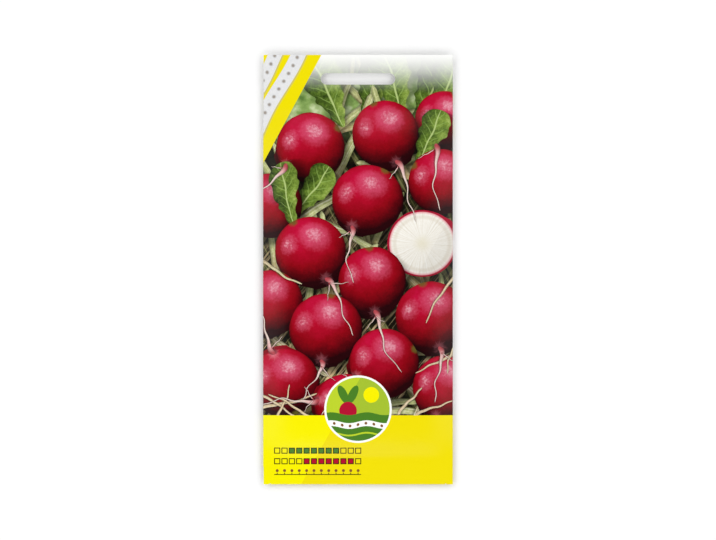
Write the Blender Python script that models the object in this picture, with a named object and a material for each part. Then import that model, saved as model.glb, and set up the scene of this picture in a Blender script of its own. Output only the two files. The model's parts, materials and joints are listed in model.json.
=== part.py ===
"""A paper seed packet for seed tape, lying on its back.

The printed front faces +Z, the hang slot is at the +Y end, and the middle of the
back lies on z = 0. One sheet of coated paper is folded into a flat bag and glued
shut. It holds three lengths of seed tape, each folded to and fro into a flat
stack, with a seed at every fifth centimetre. Every length is in metres.
"""

import math

import bmesh
import bpy
import numpy as np
from mathutils import Vector

# The bag, laid flat
WIDTH = 0.080
LENGTH = 0.181
PAPER = 0.00015
LAYER_PITCH = 0.00025
GLUE = 0.00005

# The hang slot, punched through both layers of the header
SLOT_LENGTH = 0.0314
SLOT_HEIGHT = 0.0048
SLOT_BELOW_TOP = 0.0101
SLOT_ARC_STEPS = 10
CUTTER_START = -0.005
CUTTER_LENGTH = 0.015

# The glue flap along the left fold, tucked inside the back panel
FLAP_INNER_X = -0.026
FLAP_BOTTOM = -0.084
FLAP_TOP = 0.064
FLAP_CHAMFER = 0.004

# The bottom flap, turned up over the back panel
BOTTOM_FLAP_TOP = -0.0765
BOTTOM_FLAP_HALF_WIDTH = 0.0375
BOTTOM_FLAP_CHAMFER = 0.0025

# Where the bag is pressed flat, and how high its edges stand off the table
BOTTOM_SEAM_TOP = -0.079
HEADER_START = 0.068
HEADER_GLUE_TOP = 0.0735
BACK_EDGE_X = -0.0385
EDGE_LIFT = 0.0013
HEADER_CURL = 0.0009

# The lines of glue across the bag: half of each one's length
BOTTOM_GLUE_HALF_WIDTH = 0.034
HEADER_GLUE_HALF_WIDTH = 0.037

# Extra rows and columns of points where the paper curves, counted from the middle
BOTTOM_SLOPE_Y = -0.073
TOP_SLOPE_Y = 0.0575
HEADER_CURL_Y = 0.086
SIDE_SLOPE_X = (0.034, 0.030)
BACK_MIDDLE_X = 0.013

# The seed tapes
TAPE_WIDTH = 0.016
TAPE = 0.00012
TAPE_PITCH = 0.0002
TAPE_LAYERS = 8
TAPE_RUN = 0.120
TAPE_START = -0.068
TAPE_CENTRES = {"left": -0.017, "middle": 0.0, "right": 0.017}
TAPE_FIRST_SEED = {"left": 0.025, "middle": 0.005, "right": 0.045}
TAPE_CLEARANCE = 0.0001
SEED_SPACING = 0.050
SEED_GRID = 0.010
SEED_WIDTH = 0.0025
SEED_HEIGHT = 0.0016
SEED_SUNK = 0.00012
SEED_TENT = 0.00175
SEED_SEGMENTS = 7
SEED_RINGS = 4

# Room between the stacks of tape and the slopes of the bag
EASE = 0.001
# How steeply the front paper sags between the seeds that hold it up
SAG_SLOPE = 0.05
FOLD_STEPS = 3
SHARP_ANGLE = math.radians(40)

TAPE_END = TAPE_START + TAPE_RUN
STACK_BASE = PAPER + TAPE_CLEARANCE + TAPE / 2
TAPES_HALF_WIDTH = TAPE_CENTRES["right"] + TAPE_WIDTH / 2
LEFT_FOLD_RADIUS = LAYER_PITCH / 2
RIGHT_FOLD_RADIUS = LAYER_PITCH
BOTTOM_FOLD_RADIUS = 1.5 * LAYER_PITCH
FOLD_X = (WIDTH - PAPER) / 2
BAG_BOTTOM = -(LENGTH - PAPER) / 2 + BOTTOM_FOLD_RADIUS
BAG_TOP = LENGTH / 2


def clear_scene():
    for obj in list(bpy.data.objects):
        bpy.data.objects.remove(obj, do_unlink=True)


def paint(name, colour, roughness):
    """A Principled material, non-metallic as everything here is."""
    material = bpy.data.materials.new(name)
    material.use_nodes = True
    shader = material.node_tree.nodes["Principled BSDF"]
    shader.inputs["Base Color"].default_value = (*colour, 1.0)
    shader.inputs["Roughness"].default_value = roughness
    shader.inputs["Metallic"].default_value = 0.0
    return material


def add_object(name, mesh_builder, material, parent):
    """Turns a finished bmesh into a smooth-shaded object."""
    mesh = bpy.data.meshes.new(name)
    mesh_builder.to_mesh(mesh)
    mesh_builder.free()
    mesh.materials.append(material)
    mesh.shade_smooth()
    mesh.set_sharp_from_angle(angle=SHARP_ANGLE)
    obj = bpy.data.objects.new(name, mesh)
    obj.parent = parent
    bpy.context.scene.collection.objects.link(obj)
    return obj


def hide_as_tool(obj):
    obj.hide_render = True
    obj.display_type = "WIRE"


def thicken(obj, thickness):
    """Gives a middle surface its thickness, half to each side."""
    solidify = obj.modifiers.new("thickness", "SOLIDIFY")
    solidify.thickness = thickness
    solidify.offset = 0.0
    solidify.use_even_offset = True


def combine(obj, tool, operation):
    boolean = obj.modifiers.new(operation.lower(), "BOOLEAN")
    boolean.operation = operation
    boolean.solver = "EXACT"
    boolean.object = tool


def share_between(start, end, value):
    """0 at start, 1 at end, and held at those beyond them."""
    return min(max((value - start) / (end - start), 0.0), 1.0)


def rise(start, end, value):
    """From 0 at start to 1 at end, steep out of the crease and level at the end."""
    return math.sin(share_between(start, end, value) * math.pi / 2)


def fullness(x, y):
    """How full the bag is at a place: 0 along its seams and folds, 1 over the tapes."""
    from_side = rise(FOLD_X, TAPES_HALF_WIDTH + EASE, abs(x))
    from_bottom = rise(BOTTOM_SEAM_TOP, TAPE_START - EASE, y)
    from_top = rise(HEADER_START, TAPE_END + EASE, y)
    return from_side * from_bottom * from_top


def seeds_of(stack):
    """(layer, y) of each seed, followed to and fro along the folded tape."""
    along = TAPE_FIRST_SEED[stack]
    seeds = []
    while along < TAPE_LAYERS * TAPE_RUN:
        layer = int(along / TAPE_RUN)
        inside = along - layer * TAPE_RUN
        if layer % 2:
            inside = TAPE_RUN - inside
        seeds.append((layer, TAPE_START + inside))
        along += SEED_SPACING
    return seeds


def layer_height(stack, layer, y):
    """Middle height of one layer of tape, lifted where it passes over the seeds below it."""
    lift = 0.0
    for seed_layer, seed_y in seeds_of(stack):
        if seed_layer < layer:
            lift += SEED_TENT * max(0.0, 1.0 - abs(y - seed_y) / SEED_GRID)
    return STACK_BASE + layer * TAPE_PITCH + lift


def run_places():
    """Where a run of tape has its points: its two ends and each place that can hold a seed."""
    seed_places = [
        TAPE_START + SEED_GRID * (step + 0.5)
        for step in range(round(TAPE_RUN / SEED_GRID))
    ]
    return [TAPE_START, *seed_places, TAPE_END]


def stack_top(stack, y):
    """Height that the paper over a stack spans at: the seeds hold it up, and it sags between them."""
    return max(
        layer_height(stack, TAPE_LAYERS, place) - SAG_SLOPE * abs(y - place)
        for place in run_places()
    )


def drape_height(x, y):
    """Middle height of the front paper, which spans from a stack's middle to a higher one's edge."""
    left, middle, right = (stack_top(stack, y) for stack in TAPE_CENTRES)
    outer, half = TAPE_CENTRES["right"], TAPE_WIDTH / 2
    places = [-outer, half - outer, -half, 0.0, half, outer - half, outer]
    high_left, high_right = max(left, middle), max(middle, right)
    heights = [left, high_left, high_left, middle, high_right, high_right, right]
    return float(np.interp(x, places, heights)) - TAPE_PITCH + TAPE / 2 + TAPE_CLEARANCE + PAPER / 2


def edge_height(y):
    """Middle height of the back paper along the seams, with the header curling up."""
    curl = share_between(TAPE_END, BAG_TOP, y) ** 2
    return EDGE_LIFT + HEADER_CURL * curl


def seam_gap(y):
    """From the back paper to the front paper at the seams: two steps, or one in the header."""
    return LAYER_PITCH * (2.0 - share_between(FLAP_TOP, HEADER_START, y))


def back_height(x, y):
    full = fullness(x, y)
    return edge_height(y) * (1.0 - full) + PAPER / 2 * full


def front_height(x, y):
    full = fullness(x, y)
    return (edge_height(y) + seam_gap(y)) * (1.0 - full) + drape_height(x, y) * full


def flap_height(x, y):
    return back_height(x, y) + LAYER_PITCH


def bottom_flap_height(x, y):
    return back_height(x, y) - LAYER_PITCH


def fold_turns():
    """Shares of a half turn at which a fold has a row of points, between its two ends."""
    return [step / FOLD_STEPS for step in range(1, FOLD_STEPS)]


def rows_along():
    """Heights up the bag at which the paper has a row of points."""
    below = [BAG_BOTTOM, FLAP_BOTTOM, BOTTOM_SEAM_TOP, BOTTOM_FLAP_TOP, BOTTOM_SLOPE_Y]
    above = [TOP_SLOPE_Y, FLAP_TOP, HEADER_START, HEADER_GLUE_TOP, HEADER_CURL_Y, BAG_TOP]
    return [*below, TAPE_START - EASE, *run_places(), TAPE_END + EASE, *above]


def side_columns(outermost):
    """Columns down the slope beside the tapes, from the outside in."""
    return [outermost, BOTTOM_FLAP_HALF_WIDTH, *SIDE_SLOPE_X, TAPES_HALF_WIDTH + EASE]


def front_columns():
    """Columns across the front, doubled at the gaps between the stacks of tape."""
    right = side_columns(FOLD_X - RIGHT_FOLD_RADIUS)
    left = [-x for x in side_columns(FOLD_X - LEFT_FOLD_RADIUS)]
    half = TAPE_WIDTH / 2
    inner = [TAPE_CENTRES["left"], TAPE_CENTRES["left"] + half, -half, 0.0]
    inner += [-x for x in reversed(inner[:-1])]
    return [*left, *inner, *reversed(right)]


def back_columns():
    """Columns across the back, from the right fold to the free edge."""
    right = side_columns(FOLD_X - RIGHT_FOLD_RADIUS)
    left = [-x for x in reversed(side_columns(-BACK_EDGE_X))]
    return [*right, BACK_MIDDLE_X, 0.0, -BACK_MIDDLE_X, *left]


def flap_columns():
    """Columns across the glue flap, from its free edge to the left fold."""
    left = [-x for x in reversed(side_columns(FOLD_X - LEFT_FOLD_RADIUS))]
    return [FLAP_INNER_X, *left[1:]]


def half_turn(near, far, turn):
    """Height on a fold that leads from the layer at near to the layer at far."""
    return (near + far) / 2 + (near - far) / 2 * math.cos(math.pi * turn)


def sheet_point(part, place, y):
    """Where a point of the folded sheet lies: place is x, or the share of a fold's half turn."""
    if part == "front":
        return Vector((place, y, front_height(place, y)))
    if part == "back":
        return Vector((place, y, back_height(place, y)))
    if part == "flap":
        depth = share_between(-WIDTH / 2, FLAP_INNER_X, place)
        middle = (FLAP_BOTTOM + FLAP_TOP) / 2
        if y in (FLAP_BOTTOM, FLAP_TOP):
            y += math.copysign(FLAP_CHAMFER, middle - y) * depth
        return Vector((place, y, flap_height(place, y)))
    out = math.sin(math.pi * place)
    if part == "left fold":
        x = -FOLD_X + LEFT_FOLD_RADIUS
        height = half_turn(flap_height(x, y), front_height(x, y), place)
        return Vector((x - LEFT_FOLD_RADIUS * out, y, height))
    x = FOLD_X - RIGHT_FOLD_RADIUS
    height = half_turn(front_height(x, y), back_height(x, y), place)
    return Vector((x + RIGHT_FOLD_RADIUS * out, y, height))


def bottom_flap_point(x, y):
    depth = share_between(-LENGTH / 2, BOTTOM_FLAP_TOP, y)
    x *= 1.0 - BOTTOM_FLAP_CHAMFER / BOTTOM_FLAP_HALF_WIDTH * depth
    return Vector((x, y, bottom_flap_height(x, y)))


def bottom_fold_point(x, turn):
    height = half_turn(front_height(x, BAG_BOTTOM), bottom_flap_height(x, BAG_BOTTOM), turn)
    return Vector((x, BAG_BOTTOM - BOTTOM_FOLD_RADIUS * math.sin(math.pi * turn), height))


def grid_faces(builder, grid):
    """Faces between neighbouring points of a grid of vertices, given row by row from the bottom."""
    for lower, upper in zip(grid, grid[1:]):
        for a, b, c, d in zip(lower, lower[1:], upper[1:], upper):
            if None not in (a, b, c, d):
                builder.faces.new((a, b, c, d))


def sheet_stations():
    """Every column of the folded sheet, from the flap's free edge round to the back's."""
    stations = [("flap", x) for x in flap_columns()]
    stations += [("left fold", turn) for turn in fold_turns()]
    stations += [("front", x) for x in front_columns()]
    stations += [("right fold", turn) for turn in fold_turns()]
    stations += [("back", x) for x in back_columns()]
    return stations


def sheet_grid(builder, stations):
    """The folded sheet without its bottom flap: rows of vertices, None where the flap is cut away."""
    grid = []
    for y in rows_along():
        row = []
        for part, place in stations:
            cut_away = part in ("flap", "left fold") and not FLAP_BOTTOM <= y <= FLAP_TOP
            row.append(None if cut_away else builder.verts.new(sheet_point(part, place, y)))
        grid.append(row)
    return grid


def bottom_flap_grid(builder, stations, front_row):
    """The bottom flap, from its free edge on the back round the bottom fold to the front's first row."""
    columns = [
        (index, place)
        for index, (part, place) in enumerate(stations)
        if part == "front" and abs(place) <= BOTTOM_FLAP_HALF_WIDTH
    ]
    grid = [
        [builder.verts.new(bottom_flap_point(x, y)) for _, x in columns]
        for y in reversed(rows_along())
        if y <= BOTTOM_FLAP_TOP
    ]
    for turn in reversed(fold_turns()):
        grid.append([builder.verts.new(bottom_fold_point(x, turn)) for _, x in columns])
    grid.append([front_row[index] for index, _ in columns])
    return grid


def slot_cutter(material, parent):
    """A bar with round ends, longer than both layers of the header are thick."""
    builder = bmesh.new()
    radius = SLOT_HEIGHT / 2
    middle = Vector((0.0, BAG_TOP - SLOT_BELOW_TOP, CUTTER_START))
    outline = []
    for side in (1, -1):
        for step in range(SLOT_ARC_STEPS + 1):
            angle = math.pi * (step / SLOT_ARC_STEPS - 0.5)
            x = side * (SLOT_LENGTH / 2 - radius + radius * math.cos(angle))
            outline.append(middle + Vector((x, side * radius * math.sin(angle), 0.0)))
    face = builder.faces.new([builder.verts.new(point) for point in outline])
    extruded = bmesh.ops.extrude_face_region(builder, geom=[face])["geom"]
    top = [item for item in extruded if isinstance(item, bmesh.types.BMVert)]
    bmesh.ops.translate(builder, verts=top, vec=(0.0, 0.0, CUTTER_LENGTH))
    bmesh.ops.recalc_face_normals(builder, faces=builder.faces)
    cutter = add_object("slot_cutter", builder, material, parent)
    hide_as_tool(cutter)
    return cutter


def make_paper_bag(material, parent):
    builder = bmesh.new()
    stations = sheet_stations()
    sheet = sheet_grid(builder, stations)
    grid_faces(builder, sheet)
    grid_faces(builder, bottom_flap_grid(builder, stations, sheet[0]))
    bmesh.ops.triangulate(builder, faces=builder.faces, quad_method="ALTERNATE")
    bag = add_object("paper_bag", builder, material, parent)
    thicken(bag, PAPER)
    combine(bag, slot_cutter(material, parent), "DIFFERENCE")
    return bag


def make_glue_line(name, columns, rows, height, material, parent):
    """A thin line of dried glue that follows the two layers it joins."""
    builder = bmesh.new()
    grid = [
        [builder.verts.new((x, y, height(x, y))) for x in columns]
        for y in rows
    ]
    grid_faces(builder, grid)
    bmesh.ops.triangulate(builder, faces=builder.faces, quad_method="ALTERNATE")
    glue = add_object(name, builder, material, parent)
    thicken(glue, GLUE)
    return glue


def make_glue(material, parent):
    """The side seam, the bottom seam and the band that closes the header."""
    half_step = LAYER_PITCH / 2
    rows = rows_along()
    seam_rows = [y for y in rows if TAPE_START - EASE <= y <= TAPE_END + EASE]
    make_glue_line(
        "side_seam_glue",
        [-BOTTOM_FLAP_HALF_WIDTH, *(-x for x in SIDE_SLOPE_X)],
        seam_rows,
        lambda x, y: back_height(x, y) + half_step,
        material,
        parent,
    )
    make_glue_line(
        "bottom_seam_glue",
        [-BOTTOM_GLUE_HALF_WIDTH, 0.0, BOTTOM_GLUE_HALF_WIDTH],
        [FLAP_BOTTOM, BOTTOM_SEAM_TOP],
        lambda x, y: back_height(x, y) - half_step,
        material,
        parent,
    )
    make_glue_line(
        "header_glue",
        [-HEADER_GLUE_HALF_WIDTH, 0.0, HEADER_GLUE_HALF_WIDTH],
        [HEADER_START, HEADER_GLUE_TOP],
        lambda x, y: back_height(x, y) + half_step,
        material,
        parent,
    )


def tape_path(stack):
    """(y, z) along the middle of a folded tape, from its lowest run to its highest."""
    run = run_places()
    path = []
    for layer in range(TAPE_LAYERS):
        forwards = layer % 2 == 0
        path += [(y, layer_height(stack, layer, y)) for y in (run if forwards else run[::-1])]
        if layer == TAPE_LAYERS - 1:
            continue
        end = TAPE_END if forwards else TAPE_START
        lower = layer_height(stack, layer, end)
        upper = layer_height(stack, layer + 1, end)
        reach = math.copysign((upper - lower) / 2, end - (TAPE_START + TAPE_END) / 2)
        for turn in fold_turns():
            path.append((end + reach * math.sin(math.pi * turn), half_turn(lower, upper, turn)))
    return path


def make_seeds(stack, material, parent):
    """The seeds of one tape, each sunk a little into the run that carries it."""
    builder = bmesh.new()
    for layer, y in seeds_of(stack):
        top = layer_height(stack, layer, y) + TAPE / 2
        centre = Vector((TAPE_CENTRES[stack], y, top - SEED_SUNK + SEED_HEIGHT / 2))
        ball = bmesh.ops.create_uvsphere(
            builder, u_segments=SEED_SEGMENTS, v_segments=SEED_RINGS, radius=0.5
        )
        bmesh.ops.scale(builder, vec=(SEED_WIDTH, SEED_WIDTH, SEED_HEIGHT), verts=ball["verts"])
        bmesh.ops.translate(builder, vec=centre, verts=ball["verts"])
    seeds = add_object(f"seeds_{stack}", builder, material, parent)
    hide_as_tool(seeds)
    return seeds


def make_seed_tape(stack, material, parent):
    """One folded ribbon of tape, with its seeds fused to it."""
    builder = bmesh.new()
    edges_x = [TAPE_CENTRES[stack] + side * TAPE_WIDTH / 2 for side in (-1, 1)]
    grid = [
        [builder.verts.new((x, y, z)) for x in edges_x]
        for y, z in tape_path(stack)
    ]
    grid_faces(builder, grid)
    tape = add_object(f"seed_tape_{stack}", builder, material, parent)
    thicken(tape, TAPE)
    combine(tape, make_seeds(stack, material, parent), "UNION")
    return tape


def main():
    clear_scene()
    packet = bpy.data.objects.new("seed_packet", None)
    bpy.context.scene.collection.objects.link(packet)
    make_paper_bag(paint("printed_paper", (0.42, 0.03, 0.05), 0.35), packet)
    make_glue(paint("dried_glue", (0.86, 0.84, 0.76), 0.5), packet)
    tissue = paint("tape_tissue", (0.88, 0.87, 0.83), 0.9)
    for stack in TAPE_CENTRES:
        make_seed_tape(stack, tissue, packet)


main()
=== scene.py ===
"""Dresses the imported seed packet: printed and folded paper, dried glue and folded seed tape.

The packet lies on its back, with its printed front up and its hang slot towards +Y.
Solids are in metres. The print is drawn on the flat sheet in millimetres, before folding:
its zero is the middle of the front, and the back panel begins past the right fold.
"""

from __future__ import annotations

import json
import logging
import math
import random
from collections.abc import Callable, Sequence
from dataclasses import dataclass, field
from enum import Enum

import bpy
import numpy as np
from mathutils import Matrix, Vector
from mathutils.bvhtree import BVHTree

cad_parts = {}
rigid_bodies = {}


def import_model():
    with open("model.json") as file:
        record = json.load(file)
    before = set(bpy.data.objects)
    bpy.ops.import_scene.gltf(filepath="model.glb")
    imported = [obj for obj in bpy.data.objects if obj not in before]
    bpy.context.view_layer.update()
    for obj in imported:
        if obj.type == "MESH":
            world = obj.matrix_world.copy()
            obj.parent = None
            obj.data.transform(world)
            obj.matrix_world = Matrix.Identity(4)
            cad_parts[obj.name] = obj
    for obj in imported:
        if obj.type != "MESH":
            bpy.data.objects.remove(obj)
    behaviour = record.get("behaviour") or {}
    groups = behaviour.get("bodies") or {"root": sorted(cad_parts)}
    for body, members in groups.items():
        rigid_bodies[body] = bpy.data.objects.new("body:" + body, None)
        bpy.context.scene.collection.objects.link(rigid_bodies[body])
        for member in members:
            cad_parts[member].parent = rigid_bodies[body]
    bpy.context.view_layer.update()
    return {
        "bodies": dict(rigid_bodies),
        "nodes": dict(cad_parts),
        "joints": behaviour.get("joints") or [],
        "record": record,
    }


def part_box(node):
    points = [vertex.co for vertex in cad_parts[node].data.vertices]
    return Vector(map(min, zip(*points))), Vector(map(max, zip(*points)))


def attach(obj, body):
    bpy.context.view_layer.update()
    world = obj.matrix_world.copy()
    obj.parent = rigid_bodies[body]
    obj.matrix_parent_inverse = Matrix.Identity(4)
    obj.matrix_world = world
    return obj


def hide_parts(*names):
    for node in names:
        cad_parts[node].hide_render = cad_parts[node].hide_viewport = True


LOG = logging.getLogger("seed_packet")
MM = 0.001
TINY = 0.001 * MM
FLAT_SHEET = "flat_sheet"
BAKE_MAP = "OFBake"
# Sockets of a Mix node, which has several under each name.
MIX_NUMBERS = (2, 3)
MIX_COLOURS = (6, 7)
MIXED_COLOUR = 2
# Along a tape: from one seed to the next in millimetres, and how far in the first one lies.
SEED_PITCH = 50.0
FIRST_SEEDS = {"seed_tape_left": 25.0 * MM, "seed_tape_middle": 5.0 * MM, "seed_tape_right": 45.0 * MM}
SHARP_RIM = math.radians(45.0)
BELLY_EASE = 1.0 * MM
GLUE_LINES = ("side_seam_glue", "bottom_seam_glue", "header_glue")


# Colours


@dataclass(frozen=True)
class Ink:
    """A colour as it is printed, with each part from 0 to 255."""

    red: float
    green: float
    blue: float

    @classmethod
    def grey(cls, light: float) -> Ink:
        """A grey that gives off a share of white's light."""
        part = light * 12.92 if light <= 0.0031308 else 1.055 * light ** (1.0 / 2.4) - 0.055
        return cls(*[part * 255.0] * 3)

    def linear(self) -> tuple[float, ...]:
        """The colour as a shader takes it."""
        parts = [value / 255.0 for value in (self.red, self.green, self.blue)]
        return (*[p / 12.92 if p <= 0.04045 else ((p + 0.055) / 1.055) ** 2.4 for p in parts], 1.0)


Stops = Sequence[tuple[float, Ink]]


# Fields: sums that shader nodes work out all over a surface


def feed(tree: bpy.types.NodeTree, socket: bpy.types.NodeSocket, value: object) -> None:
    """Links a field to a socket, or sets a plain value on it.

    Args:
        tree: the node tree.
        socket: the input.
        value: a Field, an Ink, or what the socket holds.
    """
    if isinstance(value, Field):
        tree.links.new(value.socket, socket)
    else:
        socket.default_value = value.linear() if isinstance(value, Ink) else value


def add_node(
    tree: bpy.types.NodeTree, kind: str, inputs: dict[str | int, object], output: str | int = 0,
    **settings: object,
) -> Field:
    """Adds a shader node.

    Args:
        tree: the node tree.
        kind: Blender's name of the node, without what all such names begin with.
        inputs: what its inputs take.
        output: the output that is wanted.
        settings: its other values.

    Returns:
        The output.
    """
    node = tree.nodes.new(f"ShaderNode{kind}")
    for name, value in settings.items():
        setattr(node, name, value)
    for name, value in inputs.items():
        feed(tree, node.inputs[name], value)
    return Field(tree, node.outputs[output])


def sum_of(operation: str, is_turned: bool = False) -> Callable[..., Field]:
    """Makes a method of Field that adds one Math node.

    Args:
        operation: Blender's name of the sum.
        is_turned: whether the field itself comes last in it.

    Returns:
        The method.
    """

    def work_out(self: Field, *others: Field | float) -> Field:
        """The sum of this and the others."""
        values = (*others, self) if is_turned else (self, *others)
        return add_node(self.tree, "Math", dict(enumerate(values)), operation=operation)

    return work_out


class Field:
    """A value or a colour that shader nodes work out at every point of a surface."""

    __add__ = sum_of("ADD")
    __sub__ = sum_of("SUBTRACT")
    __rsub__ = sum_of("SUBTRACT", is_turned=True)
    __mul__ = sum_of("MULTIPLY")
    __truediv__ = sum_of("DIVIDE")
    __pow__ = sum_of("POWER")
    __lt__ = sum_of("LESS_THAN")
    __gt__ = sum_of("GREATER_THAN")
    scaled = sum_of("MULTIPLY_ADD")
    size = sum_of("ABSOLUTE")
    sine = sum_of("SINE")
    cosine = sum_of("COSINE")
    angle = sum_of("ARCTAN2")
    floor = sum_of("FLOOR")
    fraction = sum_of("FRACT")
    most = sum_of("MAXIMUM")
    least = sum_of("MINIMUM")
    same = sum_of("COMPARE")
    bare_root = sum_of("SQRT")

    def __init__(self, tree: bpy.types.NodeTree, socket: bpy.types.NodeSocket) -> None:
        """Holds a node's output and the tree that it is in."""
        self.tree = tree
        self.socket = socket

    def root(self) -> Field:
        """Its square root, or 0 below 0."""
        return self.most(0.0).bare_root()

    def near(self, value: float) -> Field:
        """1 where this is within a half of a value, else 0."""
        return self.same(value, 0.5)

    def reach(self, other: Field) -> Field:
        """Distance from zero, with this as the place across and the other along."""
        return (self * self + other * other).root()

    def apart(self, pitch: float, shift: float = 0.0) -> Field:
        """Distance from the middle of the nearest of a row of equal spans."""
        return ((self / pitch + shift).fraction() - 0.5) * pitch

    def cells(self, pitch: float, shift: float) -> tuple[Field, Field]:
        """Which of a row of equal spans this is in, and how far from that span's middle."""
        place = self / pitch + shift
        return place.floor(), (place.fraction() - 0.5) * pitch

    def held(self) -> Field:
        """This held between 0 and 1."""
        return add_node(self.tree, "Clamp", {"Value": self})

    def cover(self, soft: float = 0.06) -> Field:
        """How far ink covers a point, from this as a distance to the shape's edge, negative inside."""
        return self.scaled(-1.0 / soft, 0.5).held()

    def line(self, half: float) -> Field:
        """How far a line of ink covers a point, from this as a distance to its middle."""
        return (self.size() - half).cover()

    def eased(self, start: float, end: float) -> Field:
        """From 0 at start to 1 at end, level at both."""
        inputs = {"Value": self, "From Min": start, "From Max": end}
        return add_node(self.tree, "MapRange", inputs, interpolation_type="SMOOTHSTEP", clamp=False)

    def chance(self) -> Field:
        """Chance that varies along this, about 0.5 on average."""
        inputs = {"W": self, "Scale": 1.0, "Detail": 2.0, "Roughness": 0.6}
        return add_node(self.tree, "TexNoise", inputs, noise_dimensions="1D")

    def ramp(self, stops: Stops) -> Field:
        """Gives each value a colour.

        Args:
            stops: values and their colours, which run smoothly into each other.

        Returns:
            The colour.
        """
        colour = add_node(self.tree, "ValToRGB", {"Fac": self})
        bar = colour.socket.node.color_ramp
        while len(bar.elements) < len(stops):
            bar.elements.new(1.0)
        for element, (place, ink) in zip(bar.elements, stops):
            element.position = place
            element.color = ink.linear()
        return colour

    def parts(self) -> tuple[Field, Field]:
        """A vector's first two numbers."""
        split = add_node(self.tree, "SeparateXYZ", {0: self})
        return split, Field(self.tree, split.socket.node.outputs[1])

    def between(self, under: Field | Ink, over: Field | Ink) -> Field:
        """A colour that is the first where this is 0, and the second where it is 1."""
        inputs = {0: self, MIX_COLOURS[0]: under, MIX_COLOURS[1]: over}
        return add_node(self.tree, "Mix", inputs, MIXED_COLOUR, data_type="RGBA")

    def swapped(self, share: Field, over: Field | float) -> Field:
        """This, or another number where the share is 1."""
        inputs = {0: share, MIX_NUMBERS[0]: self, MIX_NUMBERS[1]: over}
        return add_node(self.tree, "Mix", inputs, data_type="FLOAT")


class Sheet:
    """The flat sheet as a material sees it, with the places and clouds that it is drawn from."""

    ragged: float = 0.05
    ragged_scale: float = 2.2

    def __init__(self, x: Field, y: Field, place: Field) -> None:
        """Holds the place across and along the flat sheet, in millimetres, and both as one vector."""
        self.tree = place.tree
        self.x, self.y, self.place = x, y, place

    @classmethod
    def of_material(cls, material: bpy.types.Material, is_stored: bool) -> Sheet:
        """Finds the sheet that a material is drawn on, where ink strays a little at the edge of a shape.

        Args:
            material: the material that is drawn.
            is_stored: whether the place is stored with the piece's points, or is the place in space.

        Returns:
            The sheet.
        """
        tree = material.node_tree
        if is_stored:
            stored = {"attribute_type": "GEOMETRY", "attribute_name": FLAT_SHEET}
            place = add_node(tree, "Attribute", {}, "Vector", **stored)
            whole = Field(tree, place.socket.node.outputs["Color"])
        else:
            spot = add_node(tree, "TexCoord", {}, "Object")
            place = whole = add_node(tree, "VectorMath", {0: spot, "Scale": 1.0 / MM}, operation="SCALE")
        stray = add_node(tree, "TexNoise", {"Scale": cls.ragged_scale, "Vector": place}, "Color")
        (x, y), (stray_x, stray_y) = whole.parts(), stray.parts()
        return cls(x + (stray_x - 0.5) * cls.ragged, y + (stray_y - 0.5) * cls.ragged, place)

    def moved(self, x: float) -> Sheet:
        """The same sheet with its zero moved across."""
        return Sheet(self.x - x, self.y, self.place)

    def noise(
        self, scale: float, detail: float = 2.0, rough: float = 0.5, place: Field | None = None
    ) -> Field:
        """Cloudy chance, about 0.5 on average, with this many clouds to a millimetre."""
        inputs = {"Vector": place or self.place, "Scale": scale, "Detail": detail, "Roughness": rough}
        return add_node(self.tree, "TexNoise", inputs)

    def streaks(self, angle: float, across: float, stretch: float) -> Field:
        """Draws chance out along a direction.

        Args:
            angle: the direction, in degrees from +X.
            across: how many streaks fit in a millimetre.
            stretch: how many times longer than wide they are.

        Returns:
            The streaks' value, about 0.5 on average.
        """
        turn, scale = (0.0, 0.0, math.radians(angle)), (stretch / across, 1.0 / across, 1.0)
        inputs = {"Vector": self.place, "Rotation": turn, "Scale": scale}
        return self.noise(1.0, 3.0, 0.6, add_node(self.tree, "Mapping", inputs, vector_type="TEXTURE"))

    def turned(self, x: float, y: float, angle: float) -> tuple[Field, Field]:
        """Sees the place from a point.

        Args:
            x: the point's place across.
            y: the point's place along.
            angle: the direction that is looked in, in degrees from +X.

        Returns:
            How far along it and how far to its left.
        """
        cosine, sine = math.cos(math.radians(angle)), math.sin(math.radians(angle))
        off_x, off_y = self.x - x, self.y - y
        return off_x * cosine + off_y * sine, off_y * cosine - off_x * sine

    def disc(self, x: float, y: float, radius: float) -> Field:
        """Distance to a circle's edge."""
        return (self.x - x).reach(self.y - y) - radius


def bar(across: Field, along: Field, half_width: float, half_height: float) -> Field:
    """Distance to the edge of an upright rectangle round the given zero."""
    return (across.size() - half_width).most(along.size() - half_height)


class Print:
    """Inks laid over each other."""

    def __init__(self, colour: Field) -> None:
        """Starts with the lowest colour."""
        self.colour = colour

    def ink(self, share: Field, colour: Field | Ink) -> None:
        """Lays a colour over the rest, as far as its share goes."""
        self.colour = share.between(self.colour, colour)

    def shade(self, share: Field) -> None:
        """Darkens the print: black at a share of 0, as it was at 1."""
        self.colour = share.between(Ink(0, 0, 0), self.colour)


# The picture: radishes, leaves and roots laid over each other


class Kind(Enum):
    """What the picture shows at a point, by the number that its state holds."""

    GROUND = 0
    RADISH = 1
    CUT = 2
    LEAF = 3
    STRAND = 4


# What the picture holds at each point before anything is laid.
GROUND = float(Kind.GROUND.value)
STATE = {"Along": 0.0, "Across": 0.0, "Kind": GROUND, "Tone": 0.5, "Turn": 0.0, "Light": 1.0}
CLOUD = "Cloud"


@dataclass
class Canvas:
    """The picture so far."""

    sheet: Sheet
    cloud: Field
    state: dict[str, Field | float] = field(default_factory=lambda: dict(STATE))


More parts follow.
